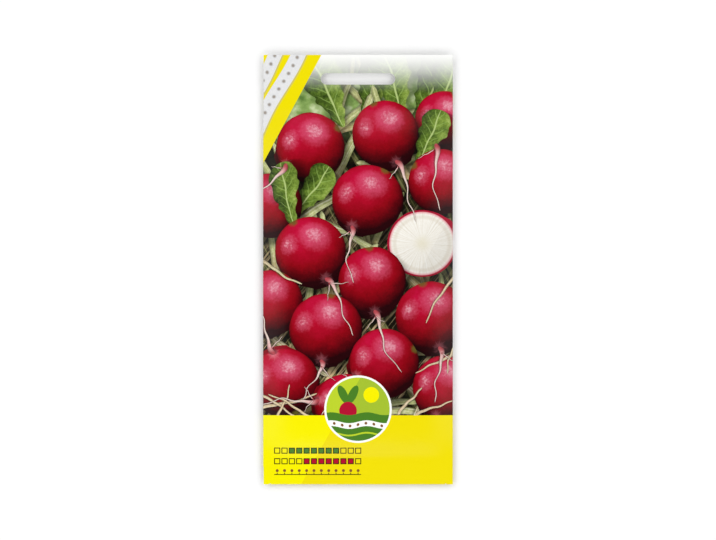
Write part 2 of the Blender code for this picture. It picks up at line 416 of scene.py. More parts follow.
class Pattern:
    """A node group that lays one motif over the picture so far.

    Until it is coloured, the picture is kept as six numbers: the place inside the motif, along and
    across it, its kind, its tone, which way it is turned, and how much light reaches it. Names with
    a capital are the picture's own, and the others are knobs of the motif.
    """

    def __init__(self, name: str, *knobs: str) -> None:
        """Makes the empty group.

        Args:
            name: the group's name.
            knobs: the numbers that each use sets.
        """
        self.group = bpy.data.node_groups.new(name, "ShaderNodeTree")
        for way, names in (("INPUT", ("Sheet X", "Sheet Y", CLOUD, *STATE, *knobs)), ("OUTPUT", STATE)):
            for socket in names:
                self.group.interface.new_socket(name=socket, in_out=way, socket_type="NodeSocketFloat")
        inside = self.group.nodes.new("NodeGroupInput")
        self.knobs = {socket.name: Field(self.group, socket) for socket in inside.outputs if socket.name}
        self.x, self.y = self.knobs["Sheet X"], self.knobs["Sheet Y"]

    def close(self, mask: Field, shadow: Field, place: tuple[Field, Field], kind: Field | float) -> None:
        """Lays the motif over what is below it, with a soft shadow beside it.

        Args:
            mask: 1 inside the motif, else 0.
            shadow: how much light it takes from what is below.
            place: the place inside the motif, along and across it.
            kind: the motif's kind.
        """
        knobs = self.knobs
        below = {**knobs, "Light": knobs["Light"] * (1.0 - shadow)}
        laid = {
            "Light": 1.0, "Along": place[0], "Across": place[1], "Kind": kind,
            "Tone": knobs["tone"], "Turn": knobs.get("turn", 0.0),
        }
        outside = self.group.nodes.new("NodeGroupOutput")
        for name, value in laid.items():
            feed(self.group, outside.inputs[name], below[name].swapped(mask, value))

    def lay(self, canvas: Canvas, knobs: dict[str, float]) -> None:
        """Uses the group once.

        Args:
            canvas: the picture so far.
            knobs: a value for each of the group's knobs.
        """
        sheet = canvas.sheet
        known = {"Sheet X": sheet.x, "Sheet Y": sheet.y, CLOUD: canvas.cloud}
        node = sheet.tree.nodes.new("ShaderNodeGroup")
        node.node_tree = self.group
        for name, value in {**known, **canvas.state, **knobs}.items():
            feed(sheet.tree, node.inputs[name], value)
        canvas.state = {name: Field(sheet.tree, node.outputs[name]) for name in STATE}


class RoundPattern(Pattern):
    """Lays a whole radish or a cut face."""

    shadow_offset: tuple[float, float] = (0.13, -0.22)
    shadow_span: tuple[float, float] = (1.20, 0.88)
    shadow_depth: float = 0.80
    tip: float = 0.09
    unevenness: float = 0.07

    def __init__(self) -> None:
        """Draws a disc drawn out towards the root, and the shadow that it casts below it."""
        super().__init__("round motif", "x", "y", "radius", "squash", "kind", "tone", "turn")
        knobs = self.knobs
        across = (self.x - knobs["x"]) / knobs["radius"]
        up = (self.y - knobs["y"]) / knobs["radius"] * knobs["squash"]
        cast = (across - self.shadow_offset[0]).reach(up - self.shadow_offset[1])
        to_root = across * knobs["turn"].cosine() + up * knobs["turn"].sine()
        drawn_out = to_root.held() ** 10.0 * self.tip
        reach = across.reach(up) - drawn_out + (knobs[CLOUD] - 0.5) * self.unevenness
        shadow = cast.eased(*self.shadow_span) * self.shadow_depth
        self.close(reach < 1.0, shadow, (across, up), knobs["kind"])


class LongPattern(Pattern):
    """Lays a stalk, a root or a leaf along a bent line."""

    def __init__(self, kind: Kind) -> None:
        """Draws the band along the line.

        Args:
            kind: LEAF for a lobed blade, STRAND for a plain tapering band.
        """
        names = ("x", "y", "angle", "length", "start", "end", "taper", "bend", "wave", "tone")
        super().__init__(f"{kind.name.lower()} motif", *names)
        x, y, angle, length, start, end, taper, bend, wave, _ = (self.knobs[name] for name in names)
        off_x, off_y, cosine, sine = self.x - x, self.y - y, angle.cosine(), angle.sine()
        along = (off_x * cosine + off_y * sine) / length
        bent = off_y * cosine - off_x * sine - along * along * bend
        bent = bent - ((along * 7.0).sine() + (along * 17.0).sine() * 0.4) * wave
        if kind is Kind.LEAF:
            width = start * self.leaf_outline(along)
        else:
            width = end + (start - end) * (1.0 - along).most(0.0) ** taper
            width = width * (along * (1.0 - along) * 22.0).least(1.0).root()
        beside = ((bent + width * 0.35).size() - width) / (width + 0.35)
        shadow = beside.eased(0.9, -0.2) * 0.6 * along.eased(-0.04, 0.03) * along.eased(1.05, 0.97)
        share = bent / width.most(0.02)
        mask = (share.size() < 1.0) * ((along * (1.0 - along)) > 0.0)
        self.close(mask, shadow, (along, share), float(kind.value))

    def leaf_outline(self, along: Field) -> Field:
        """Works out a leaf's width: narrow at the stalk, lobed, round at the tip.

        Args:
            along: how far along it, from 0 to 1.

        Returns:
            The half width, as a share of the widest.
        """
        round_tip = (1.0 - (along * 2.0 - 1.0) ** 6.0).root()
        body = along.eased(0.0, 0.78) * 0.72 + 0.28
        lobes = (along * 27.0 + self.knobs[CLOUD] * 9.0).sine() * (1.1 - along) * 0.17 + 1.0
        return round_tip * body * lobes


@dataclass(frozen=True)
class Radish:
    """One radish, in millimetres on the front, with the directions of its root and leaf in degrees."""

    x: float
    y: float
    radius: float
    root: float
    tone: float = 0.5
    cut: bool = False
    leaf: float = 0.0

    def pole(self, share: float) -> tuple[float, float]:
        """A point on the line from its crown, at -1, to its root, at 1."""
        turn, reach = math.radians(self.root), share * self.radius
        return self.x + reach * math.cos(turn), self.y + reach * math.sin(turn)


@dataclass(frozen=True)
class Band:
    """A stalk, root or leaf: where it starts, which way it runs, and its size in millimetres."""

    x: float
    y: float
    angle: float
    length: float
    start: float
    end: float = 0.0
    bend: float = 0.0
    tone: float = 0.5
    taper: float = 1.0
    wave: float = 0.4

    def motif(self, kind: Kind) -> tuple[Kind, dict[str, float]]:
        """The band as the pattern of its kind takes it."""
        return kind, {**vars(self), "angle": math.radians(self.angle)}


@dataclass(frozen=True)
class Picture:
    """A heap of radishes, whole and cut, with their stalks, leaves and roots."""

    radishes: tuple[Radish, ...] = (
        Radish(36.5, 63.0, 12.5, 250.0, 0.6),
        Radish(11.5, 57.0, 14.0, 292.0, 0.5),
        Radish(-20.0, 51.5, 14.4, 215.0, 0.8),
        Radish(35.0, 37.0, 13.8, 330.0, 0.4, leaf=72.0),
        Radish(-37.0, 27.0, 13.5, 150.0, 0.5, leaf=52.0),
        Radish(4.0, 29.5, 15.0, 240.0, 0.6),
        Radish(27.0, 11.0, 14.6, 20.0, 0.5, cut=True),
        Radish(-20.0, 7.5, 15.0, 300.0, 0.7, leaf=112.0),
        Radish(6.0, -5.0, 14.2, 275.0, 0.35),
        Radish(-37.0, -14.0, 13.8, 250.0, 0.6),
        Radish(31.0, -20.0, 15.2, 285.0, 0.55),
        Radish(-13.5, -25.0, 15.4, 262.0, 0.45),
        Radish(11.0, -39.5, 14.6, 205.0, 0.65),
        Radish(37.0, -50.0, 14.0, 250.0, 0.7),
        Radish(-31.0, -47.5, 14.8, 110.0, 0.5),
        Radish(-5.0, -57.0, 13.5, 170.0, 0.4),
    )
    far_leaves: tuple[Band, ...] = (
        Band(-6.0, 60.0, 112.0, 36.0, 9.0, 0.0, 3.0),
        Band(4.0, 62.0, 84.0, 34.0, 8.0, 0.0, -3.0, 0.2),
        Band(19.0, 62.0, 100.0, 34.0, 8.5, 0.0, 4.0, 0.8),
        Band(24.0, 58.0, 64.0, 38.0, 9.5, 0.0, 4.0, 0.4),
        Band(35.0, 62.0, 84.0, 30.0, 8.0, 0.0, -4.0, 0.9),
    )
    stems: tuple[Band, ...] = (
        Band(-12.0, 34.0, 62.0, 44.0, 2.3, 1.5, 3.0, 0.25),
        Band(21.0, 38.0, 116.0, 42.0, 2.0, 1.3, -4.0, 0.1),
        Band(-31.0, 15.0, 40.0, 40.0, 2.0, 1.4, -3.0, 0.4),
        Band(12.0, -13.0, 56.0, 44.0, 2.2, 1.4, -3.0, 0.3),
        Band(-27.0, -38.0, 76.0, 42.0, 2.1, 1.3, 2.0, 0.15),
        Band(23.0, -50.0, 96.0, 46.0, 2.1, 1.4, 3.0, 0.35),
        Band(-26.0, -62.0, 34.0, 40.0, 1.9, 1.2, -2.0, 0.05),
        Band(42.0, -28.0, 238.0, 40.0, 1.6, 1.0, 3.0, 0.46),
        Band(39.0, -63.0, 148.0, 34.0, 1.5, 1.0, -3.0, 0.47),
        Band(-42.0, -24.0, -40.0, 36.0, 1.5, 1.0, 3.0, 0.46),
    )
    straws: tuple[Band, ...] = (
        Band(-41.5, -58.5, 10.0, 25.0, 0.75, 0.30, 2.0, 0.56),
        Band(-41.0, -53.0, -26.0, 22.0, 0.60, 0.25, -2.0, 0.50),
        Band(-34.0, -62.5, 62.0, 15.0, 0.60, 0.20, 2.0, 0.60),
        Band(41.5, -1.0, 232.0, 25.0, 0.60, 0.25, 3.0, 0.52),
        Band(41.0, -34.5, 214.0, 19.0, 0.65, 0.20, -2.0, 0.56),
        Band(17.0, -61.0, 56.0, 15.0, 0.70, 0.30, -2.0, 0.50),
        Band(-41.0, 4.0, -36.0, 20.0, 0.70, 0.30, 2.0, 0.46),
        Band(24.0, -61.5, 28.0, 17.0, 0.65, 0.25, -2.0, 0.58),
        Band(41.0, -30.0, 248.0, 14.0, 0.55, 0.20, 2.0, 0.54),
        Band(-20.0, -62.0, 146.0, 20.0, 0.60, 0.25, 2.0, 0.53),
    )
    stalk_fan: tuple[float, ...] = (-24.0, 3.0, 27.0)
    seed: int = 11

    def draw(self, sheet: Sheet) -> Field:
        """Draws the whole picture.

        Args:
            sheet: the flat sheet.

        Returns:
            The picture's colour.
        """
        patterns = {
            Kind.RADISH: RoundPattern(),
            Kind.LEAF: LongPattern(Kind.LEAF),
            Kind.STRAND: LongPattern(Kind.STRAND),
        }
        canvas = Canvas(sheet, sheet.noise(0.12))
        for kind, knobs in self.motifs(random.Random(self.seed)):
            patterns[kind].lay(canvas, knobs)
        return Painter(sheet, canvas.state).colour()

    def motifs(self, chance: random.Random) -> list[tuple[Kind, dict[str, float]]]:
        """Lists what is laid: stalks, far leaves, stems, radishes with near leaves, straws and roots.

        Args:
            chance: the draws for small differences.

        Returns:
            (kind, knobs) of each motif, the lowest first.
        """
        whole = [radish for radish in self.radishes if not radish.cut]
        stalks = [band.motif(Kind.STRAND) for radish in whole for band in self.stalks_of(radish, chance)]
        far = [band.motif(Kind.LEAF) for band in self.far_leaves]
        stems = [band.motif(Kind.STRAND) for band in self.stems]
        heap: list[tuple[Kind, dict[str, float]]] = []
        for radish in self.radishes:
            if radish.leaf:
                bend = chance.uniform(-5.0, 5.0)
                leaf = Band(*radish.pole(-0.8), radish.leaf, chance.uniform(23.0, 28.0), 6.2, bend=bend)
                heap.append(leaf.motif(Kind.LEAF))
            heap.append((Kind.RADISH, {
                "x": radish.x, "y": radish.y, "radius": radish.radius, "squash": chance.uniform(0.96, 1.04),
                "kind": float((Kind.CUT if radish.cut else Kind.RADISH).value),
                "tone": radish.tone, "turn": math.radians(radish.root),
            }))
        roots = [band.motif(Kind.STRAND) for radish in whole for band in self.roots_of(radish, chance)]
        straws = [band.motif(Kind.STRAND) for band in self.straws]
        return stalks + far + stems + heap + straws + roots

    def stalks_of(self, radish: Radish, chance: random.Random) -> list[Band]:
        """Draws stalks that fan out from the crown.

        Args:
            radish: the radish that they grow from.
            chance: the draws for their sizes.

        Returns:
            One band for each.
        """
        return [
            Band(
                *radish.pole(-0.75), radish.root + 180.0 + fan + chance.uniform(-6.0, 6.0),
                chance.uniform(26.0, 40.0), chance.uniform(1.5, 2.1), chance.uniform(0.9, 1.3),
                bend=chance.uniform(-6.0, 6.0), tone=chance.uniform(0.0, 0.4),
            )
            for fan in self.stalk_fan
        ]

    @staticmethod
    def roots_of(radish: Radish, chance: random.Random) -> list[Band]:
        """Draws the root, with a fine hair or two at its foot.

        Args:
            radish: the radish that it grows from.
            chance: the draws for its bends.

        Returns:
            The root and its hairs.
        """
        angle = radish.root + chance.uniform(-15.0, 15.0)
        bend = chance.choice((-1.0, 1.0)) * chance.uniform(3.0, 8.0)
        root = Band(*radish.pole(0.84), angle, chance.uniform(18.0, 28.0), 1.5, 0.2, bend, 1.0, 4.2, 0.95)
        hairs = [
            Band(*radish.pole(1.02), angle + side * chance.uniform(25.0, 50.0), chance.uniform(4.0, 9.0),
                 0.24, 0.06, side * 1.2, 1.0, 1.0, 0.2)
            for side in chance.choice(((-1,), (1,), (-1, 1)))
        ]
        return [root, *hairs]


@dataclass
class Painter:
    """Colours the laid motifs as if soft light fell on them from above."""

    sheet: Sheet
    state: dict[str, Field]
    light: tuple[float, float, float] = (-0.22, 0.62, 0.75)
    sheen: tuple[float, float, float] = (0.12, 0.50, 0.858)
    glint: tuple[float, float, float] = (-0.62, 0.22, 0.753)

    skin: Stops = (
        (0.0, Ink(36, 0, 4)), (0.25, Ink(88, 0, 8)), (0.5, Ink(142, 2, 18)),
        (0.75, Ink(178, 7, 40)), (1.0, Ink(204, 18, 70)),
    )
    foot: Ink = Ink(232, 132, 146)
    crown: Ink = Ink(96, 92, 36)
    wide_sheen: tuple[Ink, Ink] = (Ink(226, 104, 140), Ink(246, 198, 210))
    small_sheen: tuple[Ink, Ink] = (Ink(226, 112, 144), Ink(248, 196, 208))

    flesh: Stops = ((0.25, Ink(226, 219, 203)), (0.5, Ink(246, 242, 232)), (0.8, Ink(255, 254, 250)))
    glassy: Ink = Ink(219, 208, 190)
    heart: Ink = Ink(226, 217, 176)
    under_skin: Ink = Ink(226, 96, 124)
    skin_edge: tuple[Ink, Ink] = (Ink(142, 8, 32), Ink(190, 20, 60))

    blade: Stops = (
        (0.12, Ink(28, 42, 10)), (0.42, Ink(80, 106, 34)), (0.68, Ink(128, 154, 62)),
        (1.0, Ink(190, 206, 116)),
    )
    vein: Ink = Ink(156, 188, 96)
    rib: Ink = Ink(184, 204, 128)

    stalk: Stops = ((0.32, Ink(112, 126, 62)), (0.55, Ink(196, 200, 138)), (0.78, Ink(246, 244, 216)))
    straw: Stops = ((0.3, Ink(176, 146, 104)), (0.5, Ink(230, 208, 168)), (0.7, Ink(252, 242, 220)))
    root: Stops = ((0.3, Ink(212, 176, 160)), (0.55, Ink(242, 222, 212)), (0.75, Ink(255, 248, 244)))
    stalk_foot: Ink = Ink(160, 60, 66)
    root_blush: Ink = Ink(226, 128, 142)
    root_start: Ink = Ink(168, 14, 40)

    gap: Stops = ((0.3, Ink(8, 6, 3)), (0.5, Ink(26, 22, 10)), (0.75, Ink(54, 54, 22)))
    gap_stem: Ink = Ink(140, 140, 88)
    gap_straw: Ink = Ink(226, 200, 152)
    far_green: Stops = ((0.3, Ink(92, 124, 58)), (0.5, Ink(142, 172, 96)), (0.7, Ink(206, 220, 172)))
    far_span: tuple[float, float] = (52.0, 70.0)

    def __post_init__(self) -> None:
        """Takes the picture apart, with a and b as the place inside a motif, and reads two clouds."""
        self.a, self.b, self.kind, self.tone, self.turn, self.lit = (self.state[name] for name in STATE)
        self.cloud = self.sheet.noise(0.2, 3.0)
        self.grain = self.sheet.noise(0.95, 4.0, 0.62)

    def colour(self) -> Field:
        """Colours the picture, motif by motif.

        Returns:
            Its colour, in the shadows of the motifs.
        """
        picture = Print(self.ground())
        for kind, draw in (
            (Kind.STRAND, self.strand), (Kind.LEAF, self.leaf),
            (Kind.CUT, self.cut_face), (Kind.RADISH, self.radish),
        ):
            picture.ink(self.kind.near(float(kind.value)), draw())
        picture.shade(self.lit * 0.86 + 0.03)
        return picture.colour

    def facing(self, direction: tuple[float, float, float], depth: Field) -> Field:
        """How squarely the round surface faces a direction."""
        return self.a * direction[0] + self.b * direction[1] + depth * direction[2]

    def distance_from(self, share: float) -> Field:
        """Distance inside a radish from a point on its root's line, as a share of its radius."""
        return (self.a - self.turn.cosine() * share).reach(self.b - self.turn.sine() * share)

    def radish(self) -> Field:
        """Paints tight red skin with a dull sheen, pale at the root, with a scar at the crown.

        Returns:
            The skin's colour.
        """
        depth = (1.0 - self.a * self.a - self.b * self.b).root()
        lit = self.facing(self.light, depth) * 0.78 + 0.10
        lit = lit + (self.cloud - 0.5) * 0.26 + (self.grain - 0.5) * 0.2 + (self.tone - 0.5) * 0.12
        skin = Print(lit.held().ramp(self.skin))
        skin.shade(depth.eased(0.0, 0.36) * 0.30 + 0.70)
        spin = (self.b - self.turn.sine() * 0.88).angle(self.a - self.turn.cosine() * 0.88)
        foot = self.distance_from(0.88)
        rays = (spin * 8.0 + self.cloud * 12.0 + foot * 9.0).sine().eased(0.72, 0.98)
        hairs = rays * foot.eased(0.25, 0.08)
        pale = (foot + (self.grain - 0.5) * 0.16).eased(0.20, 0.0)
        skin.ink(pale.most(hairs * 0.7) * (lit.held() * 0.6 + 0.22), self.foot)
        scar = (self.distance_from(-1.0) + (self.grain - 0.5) * 0.12).eased(0.17, 0.06)
        skin.ink(scar * 0.8, self.crown)
        broken = (self.grain - 0.5) * 0.11 + (self.cloud - 0.5) * 0.06
        wide = self.facing(self.sheen, depth) + broken
        skin.ink(wide.eased(0.84, 1.02) * 0.5, self.wide_sheen[0])
        skin.ink(wide.eased(0.965, 1.03) * 0.62, self.wide_sheen[1])
        small = self.facing(self.glint, depth) + broken * 0.8
        skin.ink(small.eased(0.93, 1.0) * 0.34, self.small_sheen[0])
        skin.ink(small.eased(0.985, 1.02) * 0.6, self.small_sheen[1])
        return skin.colour

    def cut_face(self) -> Field:
        """Paints white flesh with fine rays, a glassy ring and a thin red skin.

        Returns:
            The cut face's colour.
        """
        reach = self.a.reach(self.b)
        rays = (self.b.angle(self.a) * 14.0 + self.cloud * 1.5).chance()
        flesh = Print((rays * 0.7 + self.grain * 0.3).ramp(self.flesh))
        ring = reach.eased(0.70, 0.78) * reach.eased(0.90, 0.80)
        flesh.ink(ring * 0.45, self.glassy)
        flesh.ink(reach.eased(0.34, 0.0) * rays * 0.8, self.heart)
        flesh.ink(reach.eased(0.86, 0.95) * 0.7, self.under_skin)
        face = Print(self.cloud.between(*self.skin_edge))
        face.ink((reach - 0.945).cover(0.02), flesh.colour)
        side = (self.a * 0.4 - self.b * 0.7).eased(-0.9, 1.1)
        face.shade(1.0 - side * 0.2)
        return face.colour

    def leaf(self) -> Field:
        """Paints a green blade, crinkled, with a pale rib and veins that run out from it.

        Returns:
            The leaf's colour.
        """
        out = self.b.size()
        tone = self.cloud * 0.8 + (self.grain - 0.5) * 0.7 + (0.5 - self.b) * 0.2 + self.tone * 0.16 - 0.1
        blade = Print(tone.held().ramp(self.blade))
        veins = ((self.a * 7.0 - out * 1.4) * math.tau + self.cloud * 3.0).sine().eased(0.86, 1.0)
        blade.ink(veins * out.eased(1.0, 0.4) * 0.5, self.vein)
        blade.ink((out + self.a * 0.05).eased(0.12, 0.05) * 0.9, self.rib)
        blade.shade(out.eased(1.06, 0.8) * 0.3 + 0.7)
        return blade.colour

    def strand(self) -> Field:
        """Paints a ribbed stalk, green and reddish at the crown, or dry straw, or a pale root.

        Returns:
            The strand's colour.
        """
        side = self.b + 0.22
        round_light = (1.0 - side * side * 0.6).held()
        ribs = (self.b * 2.4 + self.a * 1.5 + self.tone * 30.0).chance()
        coarse = ribs * 0.6 + self.grain * 0.4
        band = Print((coarse + self.tone * 0.2).ramp(self.stalk))
        band.ink(self.a.eased(0.40, 0.05) * 0.4, self.stalk_foot)
        band.ink(self.tone.eased(0.42, 0.5), coarse.ramp(self.straw))
        root = Print((ribs * 0.5 + self.grain * 0.5).ramp(self.root))
        root.ink(self.a.eased(0.34, 0.08) * 0.55, self.root_blush)
        root.ink(self.a.eased(0.16, 0.03) * 0.85, self.root_start)
        band.ink(self.tone.eased(0.7, 0.9), root.colour)
        band.shade(round_light * 0.78 + 0.22)
        return band.colour

    def ground(self) -> Field:
        """Paints dark gaps with tangled stalks and dry straw, and leaves out of focus at the top.

        Returns:
            The ground's colour.
        """
        sheet = self.sheet
        ground = Print(self.cloud.ramp(self.gap))
        ground.ink(sheet.streaks(118.0, 0.34, 9.0).eased(0.50, 0.62) * 0.75, self.gap_stem)
        straw = sheet.streaks(52.0, 0.8, 14.0).eased(0.48, 0.60)
        ground.ink(straw * (sheet.y * -0.011 + 0.42).held(), self.gap_straw)
        ground.ink(sheet.y.eased(*self.far_span), self.cloud.ramp(self.far_green))
        return ground.colour


# The prints on the front and the back


@dataclass(frozen=True)
class Year:
    """Two rows of twelve month boxes, with the months for sowing and for harvest filled."""

    rows: tuple[float, float]
    pitch: float
    half_box: tuple[float, float]
    line_inset: float
    half_line: float
    sowing: tuple[int, int] = (2, 8)
    harvest: tuple[int, int] = (4, 10)

    def draw(self, sheet: Sheet, shown: PrintedSide, sowing: Ink) -> tuple[Field, Field]:
        """Draws the boxes.

        Args:
            sheet: the sheet, with its zero in the middle of the year.
            shown: the print that they are drawn on.
            sowing: the ink of the months for sowing.

        Returns:
            The place across each box, and 1 inside the year.
        """
        month, across = sheet.x.cells(self.pitch, 6.0)
        in_year = sheet.x.size() < 6.0 * self.pitch
        spans = ((self.sowing, sowing), (self.harvest, shown.crimson))
        for height, ((first, last), fill) in zip(self.rows, spans):
            box = bar(across, sheet.y - height, *self.half_box)
            filled = (month - (first + last) / 2.0).size() < (last - first) / 2.0 + 0.25
            shown.ink(box.cover() * filled * in_year, fill)
            shown.ink((box + self.line_inset).line(self.half_line) * in_year, shown.black)
        return across, in_year


@dataclass
class PrintedSide(Print):
    """One side of the printed sheet, with the inks and the foot band that both sides share."""

    sheet: Sheet
    yellow: Ink = Ink(237, 229, 0)
    # deep_yellow is the back's foot band ink, and on the front the painted shade past the sheen's edge
    deep_yellow: Ink = Ink(230, 213, 6)
    paper: Ink = Ink(244, 244, 242)
    green: Ink = Ink(181, 203, 44)
    leaf_green: Ink = Ink(70, 122, 36)
    crimson: Ink = Ink(172, 16, 46)
    black: Ink = Ink(38, 34, 12)
    grey: Ink = Ink(150, 148, 142)
    seed: Ink = Ink(128, 84, 44)
    band_top: float = -61.3


@dataclass
class FrontPrint(PrintedSide):
    """The printed front: picture, white head, corner flash, foot band, round badge and calendar rows."""

    # the badge's green on the painted shade side of the sheen's edge
    deep_green: Ink = Ink(157, 184, 48)
    flash_yellow: Ink = Ink(229, 213, 2)
    tissue: Stops = ((0.35, Ink(212, 213, 215)), (0.65, Ink(224, 224, 224)))
    dull_seed: Ink = Ink(138, 126, 114)

    top: float = 90.5
    flap_start: float = -41.6
    head_span: tuple[float, float] = (74.0, 92.5)
    sheen_foot: float = -24.0
    sheen_angle: float = 61.0
    flash_top: float = -15.4
    flash_angle: float = 61.7
    flash_tapes: tuple[tuple[float, float, float], ...] = ((8.9, 3.0, 0.0), (17.0, 2.8, 2.0))
    flash_seed_pitch: float = 1.0 / 0.26
    badge_y: float = -58.7
    badge_radius: float = 14.2
    badge_ring: float = 0.85
    badge_seed_pitch: float = 1.0 / 0.3
    rows_x: float = -17.0
    year: Year = Year((-76.2, -80.7), 3.1, (1.275, 1.25), 0.16, 0.19)
    seed_row: float = -85.2
    rule_half: float = 18.3

    def draw(self) -> Field:
        """Draws the front from the bottom layer up.

        Returns:
            The printed colour.
        """
        x, y = self.sheet.x, self.sheet.y
        self.colour = Picture().draw(self.sheet)
        # Painted sheen: past a diagonal line the front is printed darker, as painted shade beside a sheen,
        # and the foot band and badge take their deeper inks there
        _, across = self.sheet.turned(self.sheen_foot, -self.top, self.sheen_angle)
        beyond = (across * -1.0).eased(-0.05, 0.05).most(y < -self.top)
        self.shade(1.0 - beyond * 0.06)
        self.ink(y.eased(*self.head_span), self.paper)
        self.ink((y - self.band_top).cover(), beyond.between(self.yellow, self.deep_yellow))
        self.draw_flash()
        self.draw_rows()
        self.draw_badge(beyond.between(self.green, self.deep_green))
        self.ink((x - self.flap_start).cover(), self.paper)
        return self.colour

    def draw_flash(self) -> None:
        """Draws the yellow corner with two lengths of seed tape across it."""
        along, inward = self.sheet.turned(self.flash_top, self.top, self.flash_angle)
        self.ink((inward * -1.0).cover(), self.flash_yellow)
        tissue = (self.sheet.noise(2.2) * 0.6 + self.sheet.noise(0.9) * 0.4).ramp(self.tissue)
        for middle, half_width, phase in self.flash_tapes:
            waved = inward - middle - (along * 0.16 + phase).sine() * 0.5
            shadow = (waved + 0.35).size() - half_width
            self.ink(shadow.eased(0.7, 0.0) * 0.45, self.grey)
            self.ink(waved.line(half_width), tissue)
            seed = along.apart(self.flash_seed_pitch, phase).reach(waved)
            self.ink(seed.eased(1.15, 0.75) * 0.35, self.grey)
            self.ink((seed - 0.6).cover(0.3) * 0.8, self.dull_seed)

    def draw_rows(self) -> None:
        """Draws the month boxes, and a row of seeds over a rule."""
        local = self.sheet.moved(self.rows_x)
        across, in_year = self.year.draw(local, self, self.leaf_green)
        low = local.y - self.seed_row
        rule = bar(local.x, low + 1.1, self.rule_half, 0.17).cover()
        tick = bar(across, low + 0.75, 0.16, 0.45).cover() * in_year
        self.ink(rule.most(tick), self.black)
        self.ink((across.reach(low - 0.55) - 0.62).cover() * in_year, self.seed)

    def draw_badge(self, ground: Field) -> None:
        """Draws a radish that grows in a furrow beside a length of seed tape, under the sun.

        Args:
            ground: the badge's own green.
        """
        sheet, badge = self.sheet, Print(ground)
        disc = sheet.disc(0.0, self.badge_y, self.badge_radius)
        badge.ink(sheet.disc(5.6, self.badge_y + 6.0, 3.3).cover(), self.yellow)
        for angle in (64.0, 116.0):
            along, across = sheet.turned(-4.2, self.badge_y + 2.0, angle)
            badge.ink((((along - 4.6) * 0.42).reach(across) - 1.75).cover(), self.leaf_green)
        badge.ink(sheet.disc(-4.2, self.badge_y - 0.6, 3.7).cover(), self.crimson)
        soil = sheet.y - self.badge_y + 1.9 - (sheet.x * 0.42).sine() * 0.6
        badge.ink(soil.cover(), self.leaf_green)
        badge.ink((soil + 4.6).line(1.2), self.paper)
        seed = sheet.x.apart(self.badge_seed_pitch, 0.5).reach(soil + 4.6)
        badge.ink((seed - 0.6).cover(), self.seed)
        badge.ink((soil + 8.6).line(0.35), self.green)
        self.ink(disc.cover(), self.paper)
        self.ink((disc + self.badge_ring).cover(), badge.colour)


